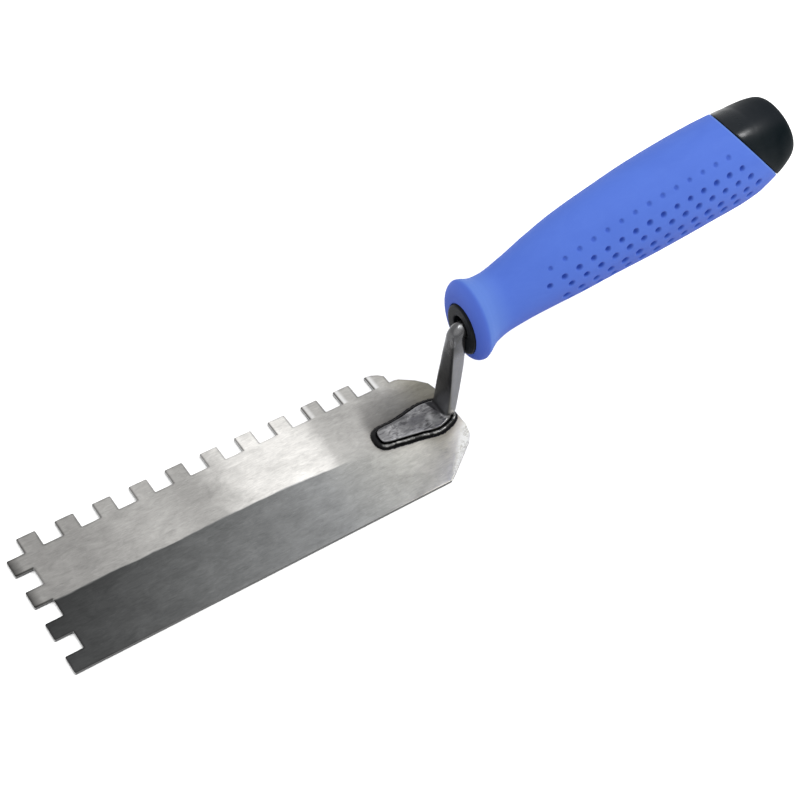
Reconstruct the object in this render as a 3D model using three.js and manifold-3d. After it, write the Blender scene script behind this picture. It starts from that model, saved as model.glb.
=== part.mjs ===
// Notched margin trowel: a toothed flat blade, a forged cranked shank welded to it,
// and an oval two-material handle with a separate butt cap.
//
// Frame (millimetres): origin at the centre of the blade's underside, +Z up through
// the blade, +X towards the handle, +Y towards the toothed long edge.
import * as THREE from 'three';
import { mergeVertices } from 'three/addons/utils/BufferGeometryUtils.js';
import Module from 'manifold-3d';

const wasm = await Module();
wasm.setup();

// ---------------------------------------------------------------- dimensions
const BLADE_L = 150.0;          // blade length along X
const BLADE_W = 50.0;           // blade width along Y, over the tooth tips
const BLADE_T = 1.2;            // sheet thickness
const TOOTH_W = 6.3;            // tooth width, equal to the notch width
const NOTCH_D = 5.9;            // notch depth
const FRONT_TEETH = 4;          // teeth across the front edge
const SIDE_TEETH = 11;          // teeth along the long edge
const TIP_R = 0.45;             // corner radius of the tooth tips

const FOOT_T = 1.8;             // thickness of the shank's foot plate
const FOOT_GAP = 0.3;           // clearance between foot wall and weld bead
const BEAD_W = 1.35;            // width of the weld bead on the blade
const BEAD_H = 1.2;             // height of the weld bead

const HANDLE_X = 73.4;          // front face of the handle, on its axis
const HANDLE_Z = 40.1;
const HANDLE_TILT = 9.6;        // degrees, rise of the handle axis
const CAP_TILT = 44.6;          // degrees, slope of the sleeve/cap joint's normal
const CAP_X = 186.4;            // where that joint crosses the handle's middle
const CAP_Z = 66.9;
const FIT_GAP = 0.3;            // clearance between nested parts
const SLEEVE_T = 2.8;           // wall of the soft grip sleeve
const SEG = 44;                 // sides round the oval

const NECK_X = 72.0;            // the shank's upright neck
const BEND_R = 3.5;             // centre-line radius of the crank
const TANG_TILT = 12.0;         // degrees, rise of the tang inside the handle
const TANG_END = 72.0;          // length of the tang inside the core

// ------------------------------------------------------------------- helpers
function clean(geometry) {
  const g = geometry.clone();
  for (const name of Object.keys(g.attributes)) if (name !== 'position') g.deleteAttribute(name);
  const m = mergeVertices(g, 1e-4);
  const idx = Array.from(m.index.array);
  const p = m.attributes.position.array;
  const kept = [];
  let volume = 0;
  const a = new THREE.Vector3(), b = new THREE.Vector3(), c = new THREE.Vector3();
  for (let i = 0; i < idx.length; i += 3) {
    const [i0, i1, i2] = [idx[i], idx[i + 1], idx[i + 2]];
    if (i0 === i1 || i1 === i2 || i2 === i0) continue;
    kept.push(i0, i1, i2);
    a.fromArray(p, i0 * 3); b.fromArray(p, i1 * 3); c.fromArray(p, i2 * 3);
    volume += a.dot(b.cross(c)) / 6;
  }
  if (volume < 0) for (let i = 0; i < kept.length; i += 3) [kept[i + 1], kept[i + 2]] = [kept[i + 2], kept[i + 1]];
  m.setIndex(kept);
  return m;
}

function toSolid(geometry) {
  const g = clean(geometry);
  return new wasm.Manifold(new wasm.Mesh({
    numProp: 3,
    vertProperties: new Float32Array(g.attributes.position.array),
    triVerts: new Uint32Array(g.index.array),
  }));
}

function fromSolid(solid) {
  const mesh = solid.getMesh();
  const g = new THREE.BufferGeometry();
  const n = mesh.vertProperties.length / mesh.numProp;
  const pos = new Float32Array(n * 3);
  for (let i = 0; i < n; i++) for (let k = 0; k < 3; k++) pos[i * 3 + k] = mesh.vertProperties[i * mesh.numProp + k];
  g.setAttribute('position', new THREE.BufferAttribute(pos, 3));
  g.setIndex(Array.from(mesh.triVerts));
  return g;
}

function part(name, geometry, color, roughness, metalness) {
  const g = geometry.index ? geometry : mergeVertices(geometry);
  g.computeVertexNormals();
  const mesh = new THREE.Mesh(g, new THREE.MeshStandardMaterial({ color, roughness, metalness }));
  mesh.name = name;
  return mesh;
}

// Rounds the convex corners of a closed outline that are sharper than about 60 degrees.
function roundTips(points, radius) {
  const out = [];
  const n = points.length;
  for (let i = 0; i < n; i++) {
    const p = points[i], a = points[(i + n - 1) % n], b = points[(i + 1) % n];
    const ux = p[0] - a[0], uy = p[1] - a[1], vx = b[0] - p[0], vy = b[1] - p[1];
    const lu = Math.hypot(ux, uy), lv = Math.hypot(vx, vy);
    const cross = (ux * vy - uy * vx) / (lu * lv);
    if (cross > 0.85 && lu > 3 * radius && lv > 3 * radius) {
      const q0 = [p[0] - ux / lu * radius, p[1] - uy / lu * radius];
      const q1 = [p[0] + vx / lv * radius, p[1] + vy / lv * radius];
      out.push(q0, [(q0[0] + q1[0] + 2 * p[0]) / 4, (q0[1] + q1[1] + 2 * p[1]) / 4], q1);
    } else out.push(p);
  }
  return out;
}

function shapeOf(points) {
  const s = new THREE.Shape();
  points.forEach(([x, y], i) => (i ? s.lineTo(x, y) : s.moveTo(x, y)));
  s.closePath();
  return s;
}

// --------------------------------------------------------------------- blade
const x0 = -BLADE_L / 2, x1 = BLADE_L / 2, y0 = -BLADE_W / 2, y1 = BLADE_W / 2;
const rootX = x0 + NOTCH_D, rootY = y1 - NOTCH_D;

function bladeOutline() {
  const pts = [[x0, y0], [57.3, y0], [61.0, -22.6], [71.8, -14.7], [73.8, -12.3], [x1, -8.4],
    [x1, 9.4], [74.3, 12.2], [71.2, 15.5], [66.6, 18.7], [65.2, rootY]];
  // toothed long edge, from the rear to the front
  for (let k = SIDE_TEETH; k >= 1; k--) {
    const front = rootX + (k - 1) * 2 * TOOTH_W, rear = front + TOOTH_W;
    pts.push([rear, rootY]);
    if (k === SIDE_TEETH) pts.push([rear, 22.3], [61.6, 23.7], [59.6, 24.7], [57.9, y1]);
    else pts.push([rear, y1]);
    pts.push([front, y1]);
    if (k > 1) pts.push([front, rootY]);
  }
  pts.push([rootX, rootY]);
  // toothed front edge, from the long edge back to the plain edge
  for (let k = FRONT_TEETH; k >= 1; k--) {
    const low = y0 + (k - 1) * 2 * TOOTH_W, high = low + TOOTH_W;
    if (k < FRONT_TEETH) pts.push([rootX, high]);
    pts.push([x0, high]);
    if (k > 1) pts.push([x0, low], [rootX, low]);
  }
  // drop repeated points
  return pts.filter((p, i) => {
    const q = pts[(i + pts.length - 1) % pts.length];
    return Math.hypot(p[0] - q[0], p[1] - q[1]) > 0.05;
  });
}

const bladeGeo = clean(new THREE.ExtrudeGeometry(shapeOf(roundTips(bladeOutline(), TIP_R)),
  { depth: BLADE_T, bevelEnabled: false, curveSegments: 2 }));

// ------------------------------------------------------- foot plate and bead
// Outline of the foot's top face, from the nose along the plain side to the heel and back.
const FOOT_LOOP = [[46.3, -0.3], [46.4, -1.2], [46.85, -1.95], [48.0, -2.45], [50.2, -2.93], [53.7, -3.57], [57.2, -4.21],
  [60.7, -4.88], [62.6, -5.42], [64.2, -5.8], [65.7, -5.92], [67.4, -5.68], [69.4, -5.1], [71.1, -4.45], [72.4, -3.45],
  [73.05, -2.0], [73.2, -0.3], [73.05, 1.3], [72.3, 2.8], [70.9, 3.8], [69.2, 4.3], [67.3, 4.5], [65.4, 4.58], [63.2, 4.37],
  [60.95, 4.0], [58.7, 3.63], [56.4, 3.25], [54.3, 3.06], [50.3, 2.99], [48.3, 2.9], [47.1, 2.3], [46.5, 1.2]];
const footLoop = FOOT_LOOP.map(([x, y]) => new THREE.Vector3(x, y, 0));
const footCurve = new THREE.CatmullRomCurve3(footLoop, true, 'centripetal');

function offsetLoop(distance, count) {
  const pts = [];
  for (let i = 0; i < count; i++) {
    const u = i / count;
    const p = footCurve.getPointAt(u), t = footCurve.getTangentAt(u);
    pts.push([p.x + t.y * distance, p.y - t.x * distance]);
  }
  return pts;
}

const footShape = shapeOf(offsetLoop(-0.35, 44));
const footGeo = new THREE.ExtrudeGeometry(footShape, {
  depth: FOOT_T - 0.45, bevelEnabled: true, bevelThickness: 0.45, bevelSize: 0.45, bevelSegments: 2,
});
footGeo.translate(0, 0, BLADE_T);
// the bevel under the plate is trimmed off flush with the blade's top face
const trim = new THREE.BoxGeometry(80, 40, 6);
trim.translate(60, 0, BLADE_T - 3);
let shankSolid = toSolid(footGeo).subtract(toSolid(trim));

// Weld bead: a half-round ring that follows the foot's outline.
const beadProfile = [];
const BEAD_N = 7;
for (let i = 0; i <= BEAD_N; i++) {
  const t = Math.PI * i / BEAD_N;
  beadProfile.push([0.1 + FOOT_GAP + BEAD_W * (1 - Math.cos(Math.PI - t)) / 2, BEAD_H * Math.sin(t) ** 0.8]);
}
const BEAD_SEG = 72;
const beadLathe = new THREE.LatheGeometry([...beadProfile, beadProfile[0]].map(([r, z]) => new THREE.Vector2(50 + r, z)), BEAD_SEG);
{
  const pos = beadLathe.attributes.position;
  const rows = BEAD_N + 2;
  for (let i = 0; i <= BEAD_SEG; i++) {
    const u = (i % BEAD_SEG) / BEAD_SEG;
    const p = footCurve.getPointAt(u), t = footCurve.getTangentAt(u);
    for (let j = 0; j < rows; j++) {
      const [r, z] = beadProfile[j % (BEAD_N + 1)];
      pos.setXYZ(i * rows + j, p.x + t.y * r, p.y - t.x * r, BLADE_T + z);
    }
  }
}
const beadGeo = clean(beadLathe);

// --------------------------------------------------------- neck, crank, tang
// Centre line in the XZ plane with the half width (across Y), the half thickness
// and how square the section is (1 square, 0 round).
const tangDir = new THREE.Vector3(Math.cos(TANG_TILT * Math.PI / 180), 0, Math.sin(TANG_TILT * Math.PI / 180));
const bendZ = HANDLE_Z + (NECK_X - 73.1) * Math.tan(TANG_TILT * Math.PI / 180);
const bendLead = BEND_R * Math.tan((90 - TANG_TILT) / 2 * Math.PI / 180);

function shankStations(grow) {
  const rows = [];
  for (const [z, hy, ht, sq, dx] of [[BLADE_T + 1.3, 3.9, 2.1, 0.9, -0.75], [2.9, 4.05, 2.25, 0.9, -0.7], [3.4, 4.15, 2.08, 0.9, -0.42],
    [4.4, 4.25, 2.0, 0.9, -0.2], [6.0, 4.3, 2.0, 0.9, -0.1], [10, 4.3, 2.03, 0.9, -0.03], [14, 4.15, 2.16, 0.88, 0], [18, 3.95, 2.32, 0.86, 0.04],
    [22, 3.65, 2.5, 0.82, 0.1], [26, 3.4, 2.62, 0.75, 0.1], [30, 3.15, 2.7, 0.6, 0.05], [34, 2.95, 2.75, 0.4, 0.04]]) {
    rows.push({ p: new THREE.Vector3(NECK_X + dx, 0, z), d: new THREE.Vector3(0, 0, 1), hy, ht, sq });
  }
  const turn = (90 - TANG_TILT) * Math.PI / 180;
  const cx = NECK_X + BEND_R, cz = bendZ - bendLead;
  for (let i = 0; i <= 7; i++) {
    const a = turn * i / 7;
    rows.push({
      p: new THREE.Vector3(cx - BEND_R * Math.cos(a), 0, cz + BEND_R * Math.sin(a)),
      d: new THREE.Vector3(Math.sin(a), 0, Math.cos(a)), hy: 2.85 - 0.1 * i / 7, ht: 2.8 - 0.05 * i / 7, sq: 0.3 - 0.3 * i / 7,
    });
  }
  const start = rows[rows.length - 1].p.clone();
  for (const s of [8, 30, TANG_END - 8, TANG_END - 2, TANG_END]) {
    const r = s > TANG_END - 1 ? 0.9 : s > TANG_END - 3 ? 1.9 : s > 40 ? 2.2 : s > 20 ? 2.5 : 2.7;
    rows.push({ p: start.clone().addScaledVector(tangDir, s + (s === TANG_END ? grow : 0)), d: tangDir.clone(), hy: r, ht: r, sq: 0 });
  }
  return rows.map((r) => ({ ...r, hy: r.hy + grow, ht: r.ht + grow }));
}

function shankLoft(grow) {
  const N = 24;
  const rows = shankStations(grow);
  const g = new THREE.CylinderGeometry(1, 1, 1, N, rows.length - 1, false);
  const pos = g.attributes.position;
  const v = new THREE.Vector3();
  const ySide = new THREE.Vector3(0, 1, 0);
  for (let i = 0; i < pos.count; i++) {
    v.fromBufferAttribute(pos, i);
    const row = rows[Math.round((v.y + 0.5) * (rows.length - 1))];
    const r = Math.hypot(v.x, v.z), a = Math.atan2(v.z, v.x);
    // superellipse: exponent 2 is an ellipse, larger is squarer
    const e = 2 / (2 + 5 * row.sq);
    const cu = Math.sign(Math.cos(a)) * Math.abs(Math.cos(a)) ** e, su = Math.sign(Math.sin(a)) * Math.abs(Math.sin(a)) ** e;
    const nrm = new THREE.Vector3().crossVectors(ySide, row.d);
    const q = row.p.clone();
    if (r > 0.5) q.addScaledVector(ySide, row.hy * cu).addScaledVector(nrm, row.ht * su);
    pos.setXYZ(i, q.x, q.y, q.z);
  }
  return clean(g);
}

shankSolid = shankSolid.add(toSolid(shankLoft(0)));

// -------------------------------------------------------------------- handle
const tilt = HANDLE_TILT * Math.PI / 180;
const H0 = new THREE.Vector3(HANDLE_X, 0, HANDLE_Z);
const along = new THREE.Vector3(Math.cos(tilt), 0, Math.sin(tilt));
const upward = new THREE.Vector3(-Math.sin(tilt), 0, Math.cos(tilt));

// Outer skin of the whole handle: [distance along the axis, half width, half height, rise of the centre].
const SKIN = [
  [0.5, 7.45, 10.8, -0.45], [0.65, 9.2, 12.7, 0.5], [1.1, 10.35, 14.4, 1.2], [1.95, 11.2, 15.7, 1.8], [3.1, 11.55, 16.3, 2.1],
  [4.5, 11.15, 15.7, 2.3], [6, 10.4, 14.6, 2.55], [8.5, 9.55, 13.4, 2.95], [13, 9.1, 12.75, 3.6], [20, 9.55, 13.3, 4.75],
  [30, 10.66, 14.8, 6.25], [42, 11.87, 16.4, 7.3], [56, 12.7, 17.45, 7.9], [72, 13.56, 18.5, 8.15], [90, 13.98, 18.85, 8.0],
  [100, 14.05, 18.8, 7.65], [104, 14.03, 18.7, 7.4], [108, 13.92, 18.425, 7.225], [112, 13.7, 17.875, 7.175],
  [115, 13.5, 16.95, 7.75], [118, 13.1, 16.075, 8.375], [120.7, 12.7, 15.125, 8.975], [123, 12.1, 14.175, 9.575],
  [125.2, 11.27, 13.1, 10.2], [126.6, 10.3, 11.975, 10.675], [127.5, 9, 10.45, 10.95], [128, 7, 8.1, 11.1],
  [128.08, 4, 4.75, 11.25],
];
const BUTT_L = 128.1;           // end of the butt on the handle's axis
const BUTT_LEAN = 0.264;        // how far the butt's end face leans forward at the top
const lean = (l) => BUTT_LEAN * (Math.max(0, l - 100) / (BUTT_L - 100)) ** 2;

// Closed body from a list of [l, a, b, c] rows: a lathe whose rings are stretched to ovals
// and strung along the handle's axis. A loop is hollow; otherwise both ends close on the axis.
function ovalBody(rows, loop) {
  const last = rows[rows.length - 1];
  const ring = loop ? [...rows, rows[0]] : [[rows[0][0], 0, 0, rows[0][3]], ...rows, [last[0] + 0.02, 0, 0, last[3]]];
  const g = new THREE.LatheGeometry(ring.map(([l, a]) => new THREE.Vector2(a, l)), SEG);
  const pos = g.attributes.position;
  const v = new THREE.Vector3();
  for (let i = 0; i <= SEG; i++) {
    const phi = ((i % SEG) / SEG) * Math.PI * 2;
    for (let j = 0; j < ring.length; j++) {
      const [l, a, b, c] = ring[j];
      const lift = b * Math.sin(phi);
      v.copy(H0).addScaledVector(along, l - lean(l) * lift).addScaledVector(upward, c + lift);
      v.y += a * Math.cos(phi);
      pos.setXYZ(i * ring.length + j, v.x, v.y, v.z);
    }
  }
  return clean(g);
}

// Everything in front of (or behind) the slanted joint between sleeve and cap.
function halfSpace(behind, gap) {
  const g = new THREE.BoxGeometry(200, 120, 240);
  g.translate(behind ? 100 + gap : -100 - gap, 0, 0);
  g.rotateY(-CAP_TILT * Math.PI / 180);
  g.translate(CAP_X, 0, CAP_Z);
  return toSolid(g);
}

// Hard core: oval face flush with the sleeve's lip at the front, then the shape under the soft sleeve.
function coreRows(grow) {
  const rows = [];
  if (grow === 0) rows.push([-0.2, 6.5, 9.8, -0.55], [0.0, 7.0, 10.3, -0.55], [0.3, 7.12, 10.46, -0.53], [0.8, 7.15, 10.5, -0.45], [2.4, 7.2, 10.6, 0.2]);
  for (const [l, a, b, c] of SKIN) if (l >= 6 && l <= 124) rows.push([l, a - SLEEVE_T + grow, b - SLEEVE_T - 0.4 + grow, c]);
  return rows;
}

const skinSolid = toSolid(ovalBody(SKIN, false));
const coreOuter = toSolid(ovalBody(coreRows(0), false));
const tangHole = toSolid(shankLoft(FIT_GAP));
// shallow oval pocket in the core's face where the crank turns in
const pocket = toSolid(ovalBody([[-1.0, 3.65, 4.85, 0.96], [1.8, 3.4, 4.5, 0.96]], false));

// Cap: the butt behind the slanted joint, with an oval spigot that plugs into the core.
const spigotRows = (grow) => [[100 - grow, 5.2 + grow, 7.6 + grow, 7.3], [101.5 - grow, 6.2 + grow, 8.8 + grow, 7.3], [124, 6.2 + grow, 8.8 + grow, 7.0]];
const capSolid = skinSolid.intersect(halfSpace(true, 0)).add(toSolid(ovalBody(spigotRows(0), false)));

const coreSolid = coreOuter.intersect(halfSpace(false, FIT_GAP))
  .subtract(tangHole)
  .subtract(pocket)
  .subtract(toSolid(ovalBody(spigotRows(FIT_GAP), false)));

// Sleeve: a hollow oval shell from the flared front lip to the slanted joint.
const inner = [...coreRows(FIT_GAP).reverse(), [2.4, 7.5, 10.9, 0.2], [0.8, 7.45, 10.8, -0.45]];
const sleeveRows = [...SKIN.filter(([l]) => l <= 126), ...inner];
const sleeveSolid = toSolid(ovalBody(sleeveRows, true)).intersect(halfSpace(false, FIT_GAP));

// ------------------------------------------------------------------ assembly
const trowel = new THREE.Group();
trowel.add(
  part('blade', bladeGeo, 0x9a9a96, 0.38, 1.0),
  part('shank', fromSolid(shankSolid), 0x3c3d42, 0.45, 0.6),
  part('weld_bead', beadGeo, 0x4a4a4c, 0.5, 0.8),
  part('handle_core', fromSolid(coreSolid), 0x1c1f22, 0.45, 0.0),
  part('grip_sleeve', fromSolid(sleeveSolid), 0x5577d8, 0.75, 0.0),
  part('end_cap', fromSolid(capSolid), 0x22262b, 0.35, 0.0),
);

export default trowel;
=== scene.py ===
import math

import bpy
import bmesh
import numpy as np
from mathutils import Matrix, Vector, noise
from mathutils.geometry import delaunay_2d_cdt


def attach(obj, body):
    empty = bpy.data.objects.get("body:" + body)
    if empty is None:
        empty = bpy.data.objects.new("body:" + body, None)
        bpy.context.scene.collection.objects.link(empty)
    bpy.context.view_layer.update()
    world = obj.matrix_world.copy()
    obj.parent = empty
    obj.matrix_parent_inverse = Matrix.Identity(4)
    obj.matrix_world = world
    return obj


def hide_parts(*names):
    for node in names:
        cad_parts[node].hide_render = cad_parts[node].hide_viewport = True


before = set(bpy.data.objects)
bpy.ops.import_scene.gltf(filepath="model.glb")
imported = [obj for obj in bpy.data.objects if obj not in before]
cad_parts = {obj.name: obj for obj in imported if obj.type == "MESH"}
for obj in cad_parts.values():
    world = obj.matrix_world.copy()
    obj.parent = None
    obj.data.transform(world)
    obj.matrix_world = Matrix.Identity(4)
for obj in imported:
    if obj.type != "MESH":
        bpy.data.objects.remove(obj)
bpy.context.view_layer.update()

MM = 0.001

# =====================================================================  helpers
def spline(points, t_new, t=None):
    """Smooth curve through rows of points (Hermite, finite-difference tangents), read at t_new."""
    P = np.asarray(points, float)
    if t is None:
        t = np.concatenate([[0], np.cumsum(np.sqrt(((P[1:] - P[:-1]) ** 2).sum(1)))])
    t = np.asarray(t, float)
    h = np.diff(t)
    s = (P[1:] - P[:-1]) / h[:, None]
    m = np.empty_like(P)
    m[0], m[-1] = s[0], s[-1]
    m[1:-1] = (s[:-1] * h[1:, None] + s[1:] * h[:-1, None]) / (h[:-1] + h[1:])[:, None]
    k = np.clip(np.searchsorted(t, t_new, side="right") - 1, 0, len(t) - 2)
    u = ((t_new - t[k]) / h[k])[:, None]
    hk = h[k][:, None]
    return ((2 * u ** 3 - 3 * u ** 2 + 1) * P[k] + (u ** 3 - 2 * u ** 2 + u) * hk * m[k]
            + (-2 * u ** 3 + 3 * u ** 2) * P[k + 1] + (u ** 3 - u ** 2) * hk * m[k + 1])


def pchip(x, y, xn):
    """Monotone cubic through (x, y), read at xn."""
    x, y, xn = (np.asarray(v, float) for v in (x, y, xn))
    h, s = np.diff(x), np.diff(y) / np.diff(x)
    m = np.zeros_like(y)
    m[0], m[-1] = s[0], s[-1]
    for i in range(1, len(x) - 1):
        if s[i - 1] * s[i] > 0:
            w1, w2 = 2 * h[i] + h[i - 1], h[i] + 2 * h[i - 1]
            m[i] = (w1 + w2) / (w1 / s[i - 1] + w2 / s[i])
    k = np.clip(np.searchsorted(x, xn, side="right") - 1, 0, len(x) - 2)
    u = (xn - x[k]) / h[k]
    return ((2 * u ** 3 - 3 * u ** 2 + 1) * y[k] + (u ** 3 - 2 * u ** 2 + u) * h[k] * m[k]
            + (-2 * u ** 3 + 3 * u ** 2) * y[k + 1] + (u ** 3 - u ** 2) * h[k] * m[k + 1])


def smoothstep(a, b, x):
    u = np.clip((x - a) / (b - a), 0, 1)
    return u * u * (3 - 2 * u)


def fbm(P, scale, octaves=3, seed=0.0):
    """Deterministic fractal noise at points P (mm), about -1..1."""
    out = np.empty(len(P))
    for i, p in enumerate(P):
        v = Vector((p[0] * scale + seed, p[1] * scale - seed, p[2] * scale + 2 * seed))
        out[i] = noise.fractal(v, 0.6, 2.0, octaves)
    return out


def mesh_object(name, verts_mm, faces, smooth=True, attrs=None, mats=None):
    """A mesh object from mm coordinates; attrs is {name: per-vertex values}; mats is a per-face index."""
    me = bpy.data.meshes.new(name)
    me.from_pydata([tuple(v * MM) for v in np.asarray(verts_mm, float)], [], [tuple(int(i) for i in f) for f in faces])
    me.validate()
    bm = bmesh.new()
    bm.from_mesh(me)
    bmesh.ops.recalc_face_normals(bm, faces=bm.faces)
    bm.to_mesh(me)
    bm.free()
    if mats is not None and len(mats) == len(me.polygons):
        me.polygons.foreach_set("material_index", np.asarray(mats, np.int32))
    me.polygons.foreach_set("use_smooth", np.full(len(me.polygons), smooth, bool))
    for key, values in (attrs or {}).items():
        a = me.attributes.new(key, "FLOAT", "POINT")
        a.data.foreach_set("value", np.asarray(values, np.float32))
    me.update()
    ob = bpy.data.objects.new(name, me)
    bpy.context.scene.collection.objects.link(ob)
    return ob


def grid_faces(rows, cols, closed_rows=False):
    """Quads of rings: rows rings of cols points each; closed_rows joins the last ring to the first."""
    f = []
    for j in range(rows if closed_rows else rows - 1):
        a, b = j * cols, ((j + 1) % rows) * cols
        for i in range(cols):
            k = (i + 1) % cols
            f.append((a + i, a + k, b + k, b + i))
    return f


# =====================================================================  dimensions (mm, repeated from the CAD)
BLADE_L, BLADE_W, BLADE_T, TOOTH_W, NOTCH_D = 150.0, 50.0, 1.2, 6.3, 5.9
FRONT_TEETH, SIDE_TEETH = 4, 11
FOOT_LOOP = [(46.3, -0.3), (46.4, -1.2), (46.85, -1.95), (48.0, -2.45), (50.2, -2.93), (53.7, -3.57), (57.2, -4.21), (60.7, -4.88),
             (62.6, -5.42), (64.2, -5.8), (65.7, -5.92), (67.4, -5.68), (69.4, -5.1), (71.1, -4.45), (72.4, -3.45), (73.05, -2.0),
             (73.2, -0.3), (73.05, 1.3), (72.3, 2.8), (70.9, 3.8), (69.2, 4.3), (67.3, 4.5), (65.4, 4.58), (63.2, 4.37), (60.95, 4.0),
             (58.7, 3.63), (56.4, 3.25), (54.3, 3.06), (50.3, 2.99), (48.3, 2.9), (47.1, 2.3), (46.5, 1.2)]
FOOT_T = 1.8
H0 = np.array([73.4, 0.0, 40.1])
TILT = math.radians(9.6)
ALONG = np.array([math.cos(TILT), 0, math.sin(TILT)])
UPWARD = np.array([-math.sin(TILT), 0, math.cos(TILT)])
CAP_N = np.array([math.cos(math.radians(44.6)), 0, math.sin(math.radians(44.6))])
CAP_P = np.array([186.4, 0.0, 66.9])
SKIN = np.array([
    [0.5, 7.45, 10.8, -0.45], [0.65, 9.2, 12.7, 0.5], [1.1, 10.35, 14.4, 1.2], [1.95, 11.2, 15.7, 1.8], [3.1, 11.55, 16.3, 2.1],
    [4.5, 11.15, 15.7, 2.3], [6, 10.4, 14.6, 2.55], [8.5, 9.55, 13.4, 2.95], [13, 9.1, 12.75, 3.6], [20, 9.55, 13.3, 4.75],
    [30, 10.66, 14.8, 6.25], [42, 11.87, 16.4, 7.3], [56, 12.7, 17.45, 7.9], [72, 13.56, 18.5, 8.15], [90, 13.98, 18.85, 8.0],
    [100, 14.05, 18.8, 7.65], [104, 14.03, 18.7, 7.4], [108, 13.92, 18.425, 7.225], [112, 13.7, 17.875, 7.175],
    [115, 13.5, 16.95, 7.75], [118, 13.1, 16.075, 8.375], [120.7, 12.7, 15.125, 8.975], [123, 12.1, 14.175, 9.575],
    [125.2, 11.27, 13.1, 10.2], [126.6, 10.3, 11.975, 10.675], [127.5, 9, 10.45, 10.95], [128, 7, 8.1, 11.1],
    [128.08, 4, 4.75, 11.25]])
SKIN_T = np.concatenate([[0], np.cumsum(np.hypot(np.diff(SKIN[:, 0]), np.diff(SKIN[:, 2])))])


def skin_at(t):
    """Rows (l, a, b, c) of the handle's skin at chord parameters t."""
    return np.stack([pchip(SKIN_T, SKIN[:, k], t) for k in range(4)], -1)


def lean(l):
    return 0.264 * (np.maximum(0, l - 100) / 28.1) ** 2


def oval(rows, phi):
    """Points on the oval body for rows (..., 4) and angles phi of the same leading shape."""
    l, a, b, c = (rows[..., k] for k in range(4))
    lift = b * np.sin(phi)
    P = H0 + (l - lean(l) * lift)[..., None] * ALONG + (c + lift)[..., None] * UPWARD
    P[..., 1] += a * np.cos(phi)
    return P


def joint_t(phi, gap, shrink=0.0):
    """Chord parameter where the skin's generator at each phi meets the slanted joint plane, moved by gap mm."""
    lo, hi = np.full(len(phi), SKIN_T[12]), np.full(len(phi), SKIN_T[-3])
    for _ in range(40):
        mid = (lo + hi) / 2
        rows = skin_at(mid)
        rows[:, 1] -= shrink
        rows[:, 2] -= shrink
        d = (oval(rows, phi) - CAP_P) @ CAP_N - gap
        lo, hi = np.where(d < 0, mid, lo), np.where(d < 0, hi, mid)
    return (lo + hi) / 2


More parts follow.
